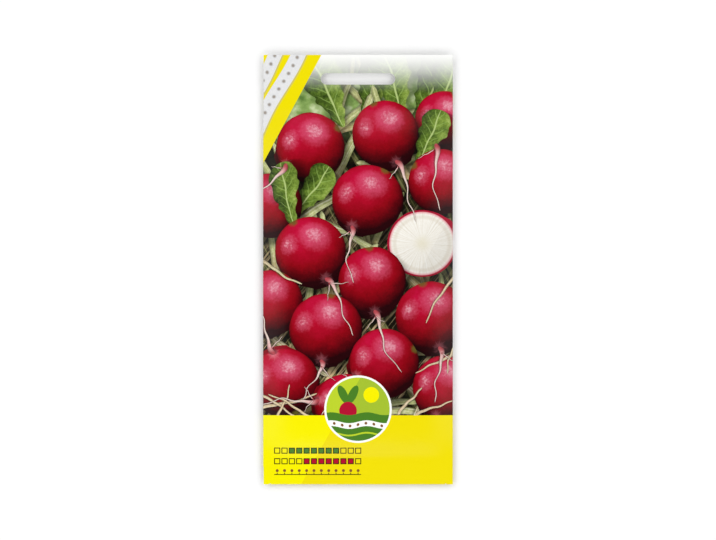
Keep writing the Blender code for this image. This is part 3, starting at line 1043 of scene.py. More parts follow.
@dataclass
class BackPrint(PrintedSide):
    """The printed back: head band with seed tape, four steps, calendar, row of plants and foot band."""

    blank: Stops = ((0.3, Ink(249, 249, 245)), (0.7, Ink(253, 253, 250)))
    soil: Ink = Ink(126, 88, 54)
    water: Ink = Ink(70, 148, 196)
    sky: Ink = Ink(236, 243, 214)
    sun: Ink = Ink(240, 190, 0)

    middle: float = 80.1
    head_y: float = 64.5
    head_half: float = 9.0
    ribbon_half: float = 3.0
    ribbon_seed_pitch: float = 10.0
    step_y: float = 40.0
    step_pitch: float = 18.4
    step_half: float = 8.2
    drop_pitch: float = 1.0 / 0.28
    year: Year = Year((18.6, 13.4), 5.4, (2.5, 2.2), 0.12, 0.17)
    plant_y: float = -14.0
    plant_pitch: float = 10.0
    plant_size: float = 1.35
    soil_half: tuple[float, float] = (33.0, 5.5)
    ruler_y: float = -31.0
    sign_y: float = -46.5
    sign_pitch: float = 22.0
    sign_radius: float = 7.0
    sun_radius: float = 3.3
    sun_rays: int = 12

    def draw(self) -> Field:
        """Draws the back from the bottom layer up.

        Returns:
            The printed colour.
        """
        self.colour = self.sheet.noise(0.2).ramp(self.blank)
        self.sheet = self.sheet.moved(self.middle)
        self.draw_head()
        self.draw_steps()
        self.year.draw(self.sheet, self, self.green)
        self.draw_plants()
        self.draw_signs()
        foot = self.sheet.y - self.band_top
        self.ink((foot - 1.4).line(0.9), self.green)
        self.ink(foot.cover(), self.deep_yellow)
        return self.colour

    def draw_head(self) -> None:
        """Draws the head band with a waved length of seed tape across it."""
        x, up = self.sheet.x, self.sheet.y - self.head_y
        inside, wave = up.line(self.head_half), up - (x * 0.12).sine() * 2.2
        self.ink(inside, self.yellow)
        self.ink((wave.size() - self.ribbon_half - 0.2).eased(0.8, 0.0) * 0.4 * inside, self.grey)
        self.ink(wave.line(self.ribbon_half) * inside, self.paper)
        seed = x.apart(self.ribbon_seed_pitch).reach(wave)
        self.ink((seed - 1.5).eased(0.8, 0.0) * 0.25 * inside, self.grey)
        self.ink((seed - 1.0).cover() * inside, self.seed)

    def draw_steps(self) -> None:
        """Draws four framed pictures: open a furrow, lay the tape, water it, and wait for the plants."""
        x, up = self.sheet.x, self.sheet.y - self.step_y
        cell, across = x.cells(self.step_pitch, 2.0)
        in_row = x.size() < 2.0 * self.step_pitch
        frame = bar(across, up, self.step_half, self.step_half)
        inside = frame.cover() * in_row
        self.ink(inside, self.sky)
        furrow = (2.6 - across.size()).most(0.0) * (cell < 2.0)
        self.ink((up + 1.5 + furrow).cover() * inside, self.soil)
        tape, laid = across.reach(up + 2.6) - 1.3, (cell > 0.5) * inside
        self.ink(tape.cover() * laid, self.paper)
        self.ink((tape + 0.75).cover() * laid, self.seed)
        drop_across, drop_up = across.apart(self.drop_pitch, 0.5), up.apart(self.drop_pitch)
        drop = (drop_across * drop_across * 2.6 + drop_up * drop_up * 0.8).root() - 0.95
        falling = cell.near(2.0) * ((up - 3.6).size() < 3.4) * (across.size() < 5.3)
        self.ink(drop.cover() * falling, self.water)
        self.draw_sprout(across, up + 1.6, 1.0, cell.near(3.0) * (frame + 0.5).cover())
        self.ink((frame + 0.2).line(0.25) * in_row, self.leaf_green)

    def draw_sprout(self, across: Field, up: Field, size: float, mask: Field) -> None:
        """Draws a small radish in the soil, with two leaves.

        Args:
            across: the place across, from the sprout's middle.
            up: the place up, from the soil.
            size: how large it is.
            mask: where it may be.
        """
        lean, rise = across.size() - up * 0.42, up - 3.7 * size
        blade = (lean * lean * 1.8 + rise * rise * 0.22).root() - 1.25 * size
        bulb = across.reach(up + 1.2 * size) - 2.3 * size
        root = bar(across, up + 4.4 * size, 0.22 * size, 1.6 * size)
        for shape, ink in ((blade, self.leaf_green), (bulb, self.crimson), (root, self.paper)):
            self.ink(shape.cover() * mask, ink)

    def draw_plants(self) -> None:
        """Draws six radishes in a strip of soil, a seed tape's spacing apart, over a ruler."""
        x, up, low = self.sheet.x, self.sheet.y - self.plant_y, self.sheet.y - self.ruler_y
        reach, depth = self.soil_half
        row = 3.0 * self.plant_pitch
        across = x.apart(self.plant_pitch)
        self.ink(bar(x, up + depth, reach, depth).cover(), self.soil)
        self.draw_sprout(across, up, self.plant_size, x.size() < row)
        tick = bar(across, low, 0.16, 1.6).most(x.size() - reach)
        fine = bar(x.apart(1.0, 0.5), low - 0.5, 0.11, 0.5).most(x.size() - row)
        self.ink(bar(x, low, reach, 0.16).least(tick).least(fine).cover(), self.black)

    def draw_signs(self) -> None:
        """Draws signs for sun, half sun and water, ringed in green."""
        x, up = self.sheet.x, self.sheet.y - self.sign_y
        cell, across = x.cells(self.sign_pitch, 0.5)
        in_row = x.size() < 1.5 * self.sign_pitch
        reach, sunny = across.reach(up), (cell < 0.5) * in_row
        self.ink((reach - self.sign_radius).line(0.35) * in_row, self.green)
        turn = up.angle(across) * (self.sun_rays / math.tau)
        ray = ((turn.fraction() - 0.5).size() * reach * 0.52).most((reach - 4.9).size() - 0.7) - 0.3
        self.ink(ray.cover() * sunny, self.sun)
        rim = reach - self.sun_radius
        self.ink(rim.cover() * sunny, self.yellow)
        self.ink(rim.cover() * sunny * ((cell > -0.5) * (across > 0.0)), self.grey)
        self.ink(rim.line(0.18) * sunny, self.sun)
        down = (4.6 - up) / 8.2
        drop = across.size() - down ** 1.2 * (1.0 - down).root() * 8.4
        self.ink(drop.cover() * ((down - 0.5).size() < 0.49) * cell.near(1.0) * in_row, self.water)


# Finishes


@dataclass(frozen=True)
class Finish:
    """A surface of printed or bare paper, tissue or dried glue."""

    name: str
    roughness: float
    gloss: float
    fibre: float = 0.02
    is_folded_sheet: bool = True
    unevenness: float = 0.12

    def dress(self, draw: Callable[[Sheet], Field]) -> bpy.types.Material:
        """Makes the material.

        Args:
            draw: called with the flat sheet, it gives the printed colour.

        Returns:
            The material.
        """
        material = bpy.data.materials.new(self.name)
        material.use_nodes = True
        tree = material.node_tree
        shader = tree.nodes["Principled BSDF"]
        sheet = Sheet.of_material(material, self.is_folded_sheet)
        feed(tree, shader.inputs["Base Color"], draw(sheet))
        uneven = sheet.noise(0.12, 3.0) * self.unevenness + (self.roughness - self.unevenness / 2.0)
        feed(tree, shader.inputs["Roughness"], uneven)
        shader.inputs["Specular IOR Level"].default_value = self.gloss
        fibres = sheet.noise(3.2, 3.0, 0.65) + sheet.noise(0.45) * 2.0
        bump = {"Strength": 1.0, "Distance": self.fibre * MM, "Height": fibres}
        feed(tree, shader.inputs["Normal"], add_node(tree, "Bump", bump))
        return material


TISSUE: Stops = ((0.3, Ink(214, 207, 190)), (0.5, Ink(236, 232, 220)), (0.7, Ink(249, 247, 240)))
PRESSED_DOT_SHADE = Ink(176, 168, 150)
SEED_SHOWING = Ink(142, 100, 66)
DOT_PITCH = 1.6


def draw_tissue(sheet: Sheet) -> Field:
    """Draws off-white tissue with long fibres, rows of pressed dots in painted shade, brown where a seed
    shows through.

    Args:
        sheet: the tape laid out straight, with its zero at the first seed.

    Returns:
        The tissue's colour.
    """
    fibres = sheet.streaks(8.0, 1.7, 10.0) * 0.6 + sheet.noise(1.3, 4.0, 0.7) * 0.4
    shown = Print(fibres.ramp(TISSUE))
    # Painted shade: the pressed dots are drawn darker, standing in for the shade in their hollows
    dots = (sheet.x.apart(DOT_PITCH).reach(sheet.y.apart(DOT_PITCH)) - 0.32).cover(0.3)
    shown.ink(dots * (sheet.x.size() > 3.0 * DOT_PITCH) * 0.3, PRESSED_DOT_SHADE)
    seed = sheet.x.reach(sheet.y.apart(SEED_PITCH, 0.5)) + (fibres - 0.5) * 0.8
    shown.ink(seed.eased(2.1, 0.9) * 0.62, SEED_SHOWING)
    return shown.colour


def draw_glue(sheet: Sheet) -> Field:
    """Dried glue, yellowish where it is thick and milky where it is thin."""
    clouds = sheet.noise(0.3, 3.0) * 0.7 + sheet.noise(1.8) * 0.3
    return clouds.ramp(((0.3, Ink(204, 193, 160)), (0.5, Ink(224, 217, 196)), (0.7, Ink(240, 237, 226))))


def draw_inside(sheet: Sheet) -> Field:
    """The unprinted side of the paper."""
    return sheet.noise(0.5).ramp(((0.3, Ink(236, 234, 226)), (0.7, Ink(244, 242, 236))))


def draw_cut_edge(sheet: Sheet) -> Field:
    """The paper's cut edge."""
    return sheet.noise(2.0).ramp(((0.3, Ink(240, 238, 232)), (0.7, Ink(250, 249, 245))))


# Shape


@dataclass(frozen=True)
class Measures:
    """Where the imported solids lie, in metres."""

    half_width: float
    bottom: float
    top: float
    belly_half_width: float
    belly_bottom: float
    belly_top: float
    seam_top: float
    header_start: float

    @classmethod
    def from_frame(cls) -> Measures:
        """Reads the bag, the glue and the tapes, with the swelling a little larger than the tapes.

        Returns:
            The measures.
        """
        (bag_low, bag_high), (tape_low, tape_high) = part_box("paper_bag"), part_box("seed_tape_right")
        lowest = min(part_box("seed_tape_left")[0].y, tape_low.y)
        belly = (tape_high.x + BELLY_EASE, lowest - BELLY_EASE, tape_high.y + BELLY_EASE)
        seam_top, header_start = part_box("bottom_seam_glue")[1].y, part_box("header_glue")[0].y
        return cls(bag_high.x, bag_low.y, bag_high.y, *belly, seam_top, header_start)


def share_between(start: float, end: float, value: np.ndarray) -> np.ndarray:
    """0 at start, 1 at end, and held at those beyond them."""
    return np.clip((value - start) / (end - start), 0.0, 1.0)


def hump(off: np.ndarray, reach: float) -> np.ndarray:
    """1 at the middle, and near 0 beyond its reach."""
    return np.exp(-((off / reach) ** 2))


def rounded(near: np.ndarray, far: np.ndarray, turn: float) -> np.ndarray:
    """Height round a fold, from near at a turn of 0 to far at 1."""
    return (near + far) / 2 + (near - far) / 2 * math.cos(math.pi * turn)


def corners(grid: np.ndarray) -> np.ndarray:
    """The four corners of each face of a grid."""
    return np.stack([grid[:-1, :-1], grid[:-1, 1:], grid[1:, 1:], grid[1:, :-1]], axis=-1)


def column_of(x: np.ndarray, y: np.ndarray, z: np.ndarray | float) -> np.ndarray:
    """Points from their three numbers, where one may be the same for all."""
    return np.stack(np.broadcast_arrays(x, y, z), axis=-1)


def mesh_object(
    name: str, points: np.ndarray, flat: np.ndarray, faces: np.ndarray,
    materials: Sequence[bpy.types.Material],
) -> bpy.types.Object:
    """Makes a piece that knows its place on the flat sheet.

    Args:
        name: the piece's name.
        points: its points.
        flat: each point's place on the flat sheet.
        faces: the corners of each face.
        materials: its materials, in order.

    Returns:
        The piece.
    """
    mesh = bpy.data.meshes.new(name)
    mesh.from_pydata(points.tolist(), [], faces.tolist())
    stored = mesh.attributes.new(FLAT_SHEET, "FLOAT_VECTOR", "POINT")
    stored.data.foreach_set("vector", flat.astype(np.float32).ravel())
    for material in materials:
        mesh.materials.append(material)
    piece = bpy.data.objects.new(name, mesh)
    bpy.context.scene.collection.objects.link(piece)
    return piece


def soften(mesh: bpy.types.Mesh) -> None:
    """Shades a mesh smoothly, with its rims sharp."""
    mesh.shade_smooth()
    mesh.set_sharp_from_angle(angle=SHARP_RIM)


@dataclass
class PressedLayers:
    """Heights of the front and back paper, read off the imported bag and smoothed."""

    measures: Measures
    bag: bpy.types.Object
    paper: float = 0.15 * MM
    layer_pitch: float = 0.25 * MM
    edge_lift: float = 1.3 * MM
    header_curl: float = 0.9 * MM
    flattening: float = 4.0 * MM
    slot_half_length: float = 15.7 * MM
    slot_half_height: float = 2.4 * MM
    slot_y: float = 80.4 * MM
    inset: float = 0.35 * MM
    plumb_lines: tuple[int, int] = (80, 181)
    blur_steps: int = 3

    pucker_x: float = 33.5 * MM
    pucker_reach: float = 3.2 * MM
    pucker_height: float = 0.10 * MM
    pucker_ease: float = 8.0 * MM
    pucker_waves: tuple[tuple[float, float, float], ...] = ((4.7 * MM, 1.3, 0.6), (2.9 * MM, 0.4, 0.4))
    creases: tuple[tuple[float, float], ...] = ((0.55, 0.16 * MM), (1.0, 0.22 * MM), (1.7, 0.14 * MM))
    crease_inset: float = 2.0 * MM
    crease_length: float = 13.0 * MM
    crease_reach: tuple[float, float] = (0.9 * MM, 2.0 * MM)
    crease_rim: float = 0.5
    relief_rise: float = 6.0

    def __post_init__(self) -> None:
        """Reads the front's height by plumb lines from above."""
        m = self.measures
        self.xs = np.linspace(-m.half_width + self.inset, m.half_width - self.inset, self.plumb_lines[0])
        self.ys = np.linspace(m.bottom + self.inset, m.top - self.inset / 3, self.plumb_lines[1])
        bag = self.bag.data
        tree = BVHTree.FromPolygons([v.co for v in bag.vertices], [p.vertices for p in bag.polygons])
        heights = np.full((len(self.ys), len(self.xs)), np.nan)
        for (row, column), _ in np.ndenumerate(heights):
            above = Vector((self.xs[column], self.ys[row], 1.0))
            hit = tree.ray_cast(above, Vector((0.0, 0.0, -1.0)))[0]
            if hit is not None and hit.z > self.edge_lift:
                heights[row, column] = hit.z - self.paper / 2
        for row in heights:
            known = ~np.isnan(row)
            row[~known] = np.interp(self.xs[~known], self.xs[known], row[known])
        for _ in range(self.blur_steps):
            heights = self.blurred(heights)
        self.front_map = heights

    @staticmethod
    def blurred(heights: np.ndarray) -> np.ndarray:
        """Eases each height towards its neighbours.

        Args:
            heights: the heights.

        Returns:
            The eased heights, with the outermost columns kept.
        """
        wide = np.pad(heights, 1, mode="edge")
        rows = (wide[:-2, 1:-1] + 2 * wide[1:-1, 1:-1] + wide[2:, 1:-1]) / 4
        wide = np.pad(rows, 1, mode="edge")
        eased = (wide[1:-1, :-2] + 2 * wide[1:-1, 1:-1] + wide[1:-1, 2:]) / 4
        eased[:, [0, -1]] = heights[:, [0, -1]]
        return eased

    def fullness(self, x: np.ndarray, y: np.ndarray) -> np.ndarray:
        """Works out how full the bag is.

        Args:
            x: places across.
            y: places along.

        Returns:
            0 along the seams and folds, 1 over the tapes.
        """
        m = self.measures
        full = np.sin(share_between(m.half_width, m.belly_half_width, np.abs(x)) * math.pi / 2)
        for start, end in ((m.seam_top, m.belly_bottom), (m.header_start, m.belly_top)):
            full = full * np.sin(share_between(start, end, y) * math.pi / 2)
        return full

    def edge(self, y: np.ndarray) -> np.ndarray:
        """Height of the back paper along the seams, with the header curling up."""
        curl = share_between(self.measures.belly_top - MM, self.measures.top, y)
        return self.edge_lift + self.header_curl * curl**2

    def gap(self, y: np.ndarray) -> np.ndarray:
        """From the back paper to the front paper where the bag is pressed flat."""
        start = self.measures.header_start
        return self.layer_pitch * (2.0 - share_between(start - self.flattening, start, y))

    def relief(self, x: np.ndarray, y: np.ndarray) -> np.ndarray:
        """Works out small puckers beside the folds and creases at the belly's corners.

        Args:
            x: places across.
            y: places along.

        Returns:
            How far they lift the paper.
        """
        m = self.measures
        out, side = np.abs(x), np.sign(x)
        wave = sum(np.sin(y / length + side * shift) * share for length, shift, share in self.pucker_waves)
        lengthwise = share_between(m.seam_top, m.belly_bottom + self.pucker_ease, y)
        lengthwise = lengthwise * share_between(m.header_start, m.belly_top - self.pucker_ease, y)
        lift = self.pucker_height * wave * hump(out - self.pucker_x, self.pucker_reach) * lengthwise
        for corner_y, outer_y in ((m.belly_bottom, m.seam_top), (m.belly_top, m.header_start)):
            off_x, off_y = out - (m.belly_half_width - self.crease_inset), y - corner_y
            for spread, depth in self.creases:
                lean = math.atan2(math.copysign(spread, outer_y - corner_y), 1.0)
                along = off_x * math.cos(lean) + off_y * math.sin(lean)
                across = off_y * math.cos(lean) - off_x * math.sin(lean)
                shape = hump(across, self.crease_reach[0])
                shape = shape - self.crease_rim * hump(across, self.crease_reach[1])
                part_way = share_between(0.0, self.crease_length, along)
                lift = lift + depth * shape * np.sin(part_way * math.pi)
        return lift

    def back(self, x: np.ndarray, y: np.ndarray) -> np.ndarray:
        """Middle height of the back paper."""
        full = self.fullness(x, y)
        return self.edge(y) * (1.0 - full) + self.paper / 2 * full

    def front(self, x: np.ndarray, y: np.ndarray) -> np.ndarray:
        """Works out the middle height of the front paper.

        Args:
            x: places across.
            y: places along.

        Returns:
            The heights, nowhere lower than the back paper lets it be.
        """
        x, y = np.broadcast_arrays(x, y)
        (column, across), (row, up) = self.cell_of(self.xs, x), self.cell_of(self.ys, y)
        low, high = (
            self.front_map[line, column] * (1 - across) + self.front_map[line, column + 1] * across
            for line in (row, row + 1)
        )
        height = low * (1 - up) + high * up
        relief = self.relief(x, y) * np.minimum(1.0, self.fullness(x, y) * self.relief_rise)
        return np.maximum(height + relief, self.back(x, y) + self.gap(y))

    @staticmethod
    def cell_of(places: np.ndarray, value: np.ndarray) -> tuple[np.ndarray, np.ndarray]:
        """Finds values in a row of even places: the place below each, and how far past it."""
        steps = np.clip((value - places[0]) / (places[1] - places[0]), 0.0, len(places) - 1.001)
        return steps.astype(int), steps % 1.0


class Part(Enum):
    """The parts of the folded sheet, in order across it."""

    FLAP = 0
    LEFT_FOLD = 1
    FRONT = 2
    RIGHT_FOLD = 3
    BACK = 4


class Surface(Enum):
    """The surfaces of the thick paper, by the place of their material in the list."""

    PRINT = 0
    INSIDE = 1
    CUT = 2


@dataclass
class PaperBag:
    """One sheet of paper folded into the bag, with its print."""

    layers: PressedLayers
    thickness: float = 0.15 * MM
    step: float = 1.0 * MM
    fine_step: float = 0.4 * MM
    slot_margin: float = 0.8 * MM
    slot_ends: float = 3.2 * MM
    fold_steps: int = 7
    flap_columns: int = 12
    flap_inner_x: float = -26.0 * MM
    flap_ends: tuple[float, float] = (-84.0 * MM, 64.0 * MM)
    flap_chamfer: float = 4.0 * MM
    flap_chamfer_reach: float = 12.0 * MM
    back_edge_x: float = -38.5 * MM
    bottom_flap_top: float = -76.5 * MM
    bottom_flap_half_width: float = 37.5 * MM
    bottom_flap_chamfer: float = 2.5 * MM
    tucked: float = -41.0
    tucked_share: float = 0.1
    map_span: tuple[float, float] = (0.01, 0.98)
    map_corner: tuple[float, float] = (0.002, 0.006)

    def __post_init__(self) -> None:
        """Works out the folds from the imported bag's outline."""
        self.measures = self.layers.measures
        pitch = self.layers.layer_pitch
        self.left_radius, self.right_radius, self.bottom_radius = pitch / 2, pitch, 1.5 * pitch
        self.fold_x = self.measures.half_width - self.thickness / 2
        self.left_x, self.right_x = self.left_radius - self.fold_x, self.fold_x - self.right_radius
        self.fold_y = self.measures.bottom + self.thickness / 2 + self.bottom_radius

    def spread(self, low: float, high: float, fine: Sequence[tuple[float, float]] = ()) -> np.ndarray:
        """Spreads places evenly.

        Args:
            low: the first.
            high: the last.
            fine: spans where they lie closer together.

        Returns:
            The places, in order.
        """
        places = list(np.linspace(low, high, max(2, round((high - low) / self.step) + 1)))
        for start, end in fine:
            places = [p for p in places if not start - 0.5 * self.step < p < end + 0.5 * self.step]
            places += list(np.linspace(start, end, round((end - start) / self.fine_step) + 1))
        return np.array(sorted(places))

    def rows(self) -> np.ndarray:
        """Heights up the bag at which the sheet has points."""
        low, high = (self.layers.slot_y + side * self.slot_ends for side in (-1, 1))
        return self.spread(self.fold_y, self.measures.top, [(low, high)])

    def stations(self) -> list[tuple[Part, float, float]]:
        """Works out the columns across the sheet.

        Returns:
            (part, place, place on the flat sheet in millimetres) of each.
        """
        slot_end = self.layers.slot_half_length
        near, far = slot_end - self.slot_ends, slot_end + self.slot_margin
        fine = [(-far, -near), (near, far)]
        turns = np.arange(1, self.fold_steps) / self.fold_steps
        left, right = self.left_x, self.right_x
        left_arc, right_arc = math.pi * self.left_radius, math.pi * self.right_radius
        spans = (
            (Part.FLAP, np.linspace(self.flap_inner_x, left, self.flap_columns), -1, 2 * left - left_arc),
            (Part.LEFT_FOLD, turns, left_arc, left - left_arc),
            (Part.FRONT, self.spread(left, right, fine), 1, 0),
            (Part.RIGHT_FOLD, turns, right_arc, right),
            (Part.BACK, self.spread(self.back_edge_x, right, fine)[::-1], -1, 2 * right + right_arc),
        )
        return [
            (part, place, (place * slope + start) / MM)
            for part, places, slope, start in spans for place in places
        ]

    def slot_moves(self, x: np.ndarray, y: np.ndarray) -> tuple[np.ndarray, np.ndarray, np.ndarray]:
        """Moves points inside the slot out to its edge.

        Args:
            x: the points across.
            y: the points along.

        Returns:
            The moved x and y, and which points are now on the edge.
        """
        radius, slot_y = self.layers.slot_half_height, self.layers.slot_y
        straight = self.layers.slot_half_length - radius
        middle = np.clip(x, -straight, straight)
        reach = np.hypot(x - middle, y - slot_y)
        is_middle = reach < 0.1 * TINY
        scale = np.where(reach < radius - TINY, radius / np.where(is_middle, 1.0, reach), 1.0)
        off_y = np.where(is_middle, radius, (y - slot_y) * scale)
        return middle + (x - middle) * scale, slot_y + off_y, reach < radius + TINY

    def column_points(self, part: Part, place: float, y: np.ndarray) -> np.ndarray:
        """Works out the points of one column.

        Args:
            part: the part of the sheet that it is in.
            place: its place across, or its turn round a fold from 0 to 1.
            y: the heights up the bag of its points.

        Returns:
            The points.
        """
        layers = self.layers
        if part in (Part.FRONT, Part.BACK):
            x, y, _ = self.slot_moves(np.full_like(y, place), y)
            return column_of(x, y, layers.front(x, y) if part is Part.FRONT else layers.back(x, y))
        if part is Part.FLAP:
            low, high = self.flap_ends
            reach = self.flap_chamfer_reach
            depth = (place + self.fold_x) / (self.flap_inner_x + self.fold_x)
            inward = share_between(low + reach, low, y) - share_between(high - reach, high, y)
            y = y + self.flap_chamfer * depth * inward
            return column_of(place, y, layers.back(place, y) + layers.layer_pitch)
        is_left = part is Part.LEFT_FOLD
        x = self.left_x if is_left else self.right_x
        back, front = layers.back(x, y) + layers.layer_pitch * is_left, layers.front(x, y)
        radius = -self.left_radius if is_left else self.right_radius
        height = rounded(back, front, place) if is_left else rounded(front, back, place)
        return column_of(x + radius * math.sin(math.pi * place), y, height)

    def sheet_rows(
        self, stations: list[tuple[Part, float, float]]
    ) -> tuple[np.ndarray, np.ndarray, np.ndarray]:
        """Works out the sheet without its bottom flap.

        Args:
            stations: the sheet's columns.

        Returns:
            The points, their places on the flat sheet, and which are missing.
        """
        rows = self.rows()
        kind = np.array([part.value for part, _, _ in stations])
        is_front, is_back = kind == Part.FRONT.value, kind == Part.BACK.value
        points = np.stack([self.column_points(part, place, rows) for part, place, _ in stations], axis=1)
        beside_flap = np.abs(points[0, :, 0]) > self.bottom_flap_half_width
        points[0, beside_flap | is_back, 1] = self.measures.bottom + self.thickness / 4
        flat = np.zeros_like(points)
        flat[:, :, 0] = np.where(is_front, points[:, :, 0] / MM, [across for _, _, across in stations])
        flat[:, :, 1] = np.where(is_front | is_back, points[:, :, 1], rows[:, None]) / MM
        beyond = (rows < self.flap_ends[0]) | (rows > self.flap_ends[1])
        return points, flat, (kind <= Part.LEFT_FOLD.value) & beyond[:, None]

    def bottom_rows(self, x: np.ndarray) -> tuple[np.ndarray, np.ndarray]:
        """Works out the bottom flap, from its free edge on the back round the fold to the front.

        Args:
            x: the columns that it shares with the front.

        Returns:
            Its points, and their places on the flat sheet.
        """
        layers, arc = self.layers, math.pi * self.bottom_radius
        points, flat = [], []
        for y in reversed(self.spread(self.fold_y, self.bottom_flap_top)):
            depth = (y - self.fold_y) / (self.bottom_flap_top - self.fold_y)
            narrowed = x * (1.0 - self.bottom_flap_chamfer / self.bottom_flap_half_width * depth**3)
            points.append(column_of(narrowed, y, layers.back(narrowed, y) - layers.layer_pitch))
            flat.append(column_of(x, 2 * self.fold_y - arc - y, 0.0) / MM)
        near, far = layers.front(x, self.fold_y), layers.back(x, self.fold_y) - layers.layer_pitch
        for turn in np.arange(self.fold_steps - 1, 0, -1) / self.fold_steps:
            y = self.fold_y - self.bottom_radius * math.sin(math.pi * turn)
            points.append(column_of(x, y, rounded(near, far, turn)))
            flat.append(column_of(x, self.fold_y - arc * turn, 0.0) / MM)
        return np.array(points), np.array(flat)

    def build(self) -> list[bpy.types.Object]:
        """Folds the sheet and gives it its thickness.

        Returns:
            The bag's front with its folds and flaps, and its back panel.
        """
        stations = self.stations()
        points, flat, missing = self.sheet_rows(stations)
        panels = (Part.FRONT, Part.BACK)
        across = np.array([x if part in panels else self.fold_x for part, x, _ in stations])
        hole = self.slot_moves(across, self.rows()[:, None])[2]
        kept = ~(corners(missing).any(axis=-1) | corners(hole).all(axis=-1))
        on_back = np.array([part is Part.BACK for part, _, _ in stations])[:-1]
        number = np.arange(missing.size).reshape(missing.shape)
        half = self.bottom_flap_half_width
        shared = [i for i, (part, x, _) in enumerate(stations) if part is Part.FRONT and abs(x) <= half]
        low_points, low_flat = self.bottom_rows(np.array([stations[i][1] for i in shared]))
        low_number = missing.size + np.arange(low_flat[:, :, 0].size).reshape(low_flat.shape[:2])
        low_faces = corners(np.vstack([low_number, number[0, shared]])).reshape(-1, 4)
        pairs = (points, low_points), (flat, low_flat)
        sheet = [np.vstack([rows.reshape(-1, 3), low.reshape(-1, 3)]) for rows, low in pairs]
        faces = {
            "printed_front": np.vstack([corners(number)[kept & ~on_back], low_faces]),
            "printed_back": corners(number)[kept & on_back],
        }
        inside = Finish("inside paper", 0.75, 0.3, 0.03).dress(draw_inside)
        cut = Finish("cut paper edge", 0.8, 0.2, 0.01).dress(draw_cut_edge)
        prints = {
            "printed_front": Finish("printed front", 0.30, 0.15).dress(lambda page: FrontPrint(page).draw()),
            "printed_back": Finish("printed back", 0.32, 0.15).dress(lambda page: BackPrint(page).draw()),
        }
        return [self.thicken(name, *sheet, faces[name], [prints[name], inside, cut]) for name in faces]

    def thicken(
        self, name: str, points: np.ndarray, flat: np.ndarray, faces: np.ndarray,
        materials: list[bpy.types.Material],
    ) -> bpy.types.Object:
        """Makes the thickened mesh of one part of the sheet.

        Args:
            name: the part's name.
            points: the middle of the sheet.
            flat: each point's place on the flat sheet.
            faces: the corners of each face.
            materials: the printed side, the inner side and the cut edge.

        Returns:
            The part.
        """
        used, place = np.unique(faces, return_inverse=True)
        part = mesh_object(name, points[used], flat[used], place.reshape(faces.shape), materials)
        part.modifiers.new("joined corners", "WELD").merge_threshold = TINY
        solidify = part.modifiers.new("paper thickness", "SOLIDIFY")
        solidify.thickness = self.thickness
        solidify.offset = 0.0
        solidify.material_offset = Surface.INSIDE.value
        solidify.material_offset_rim = Surface.CUT.value
        thick = bpy.data.meshes.new_from_object(part.evaluated_get(bpy.context.evaluated_depsgraph_get()))
        part.modifiers.clear()
        part.data = thick
        self.map_for_baking(thick)
        soften(thick)
        return part

    def map_for_baking(self, mesh: bpy.types.Mesh) -> None:
        """Lays the printed side out flat over the map, and the rest in its corner.

        Args:
            mesh: the thickened part.
        """
        flat = np.array([spot.vector[:2] for spot in mesh.attributes[FLAT_SHEET].data], np.float32)
        sides, corner_counts = zip(*[(face.material_index, face.loop_total) for face in mesh.polygons])
        printed = np.repeat(np.array(sides) == Surface.PRINT.value, corner_counts)
        tucked = self.tucked + (flat[:, 0] - self.tucked) * self.tucked_share
        flat[:, 0] = np.where(flat[:, 0] < self.tucked, tucked, flat[:, 0])
        low, high = flat.min(axis=0), flat.max(axis=0)
        place = (flat[[loop.vertex_index for loop in mesh.loops]] - low) / (high - low)
        spans = (start + place * size for start, size in (self.map_span, self.map_corner))
        uv = np.where(printed[:, None], *spans)
        mesh.uv_layers.new(name=BAKE_MAP).data.foreach_set("uv", uv.astype(np.float32).ravel())


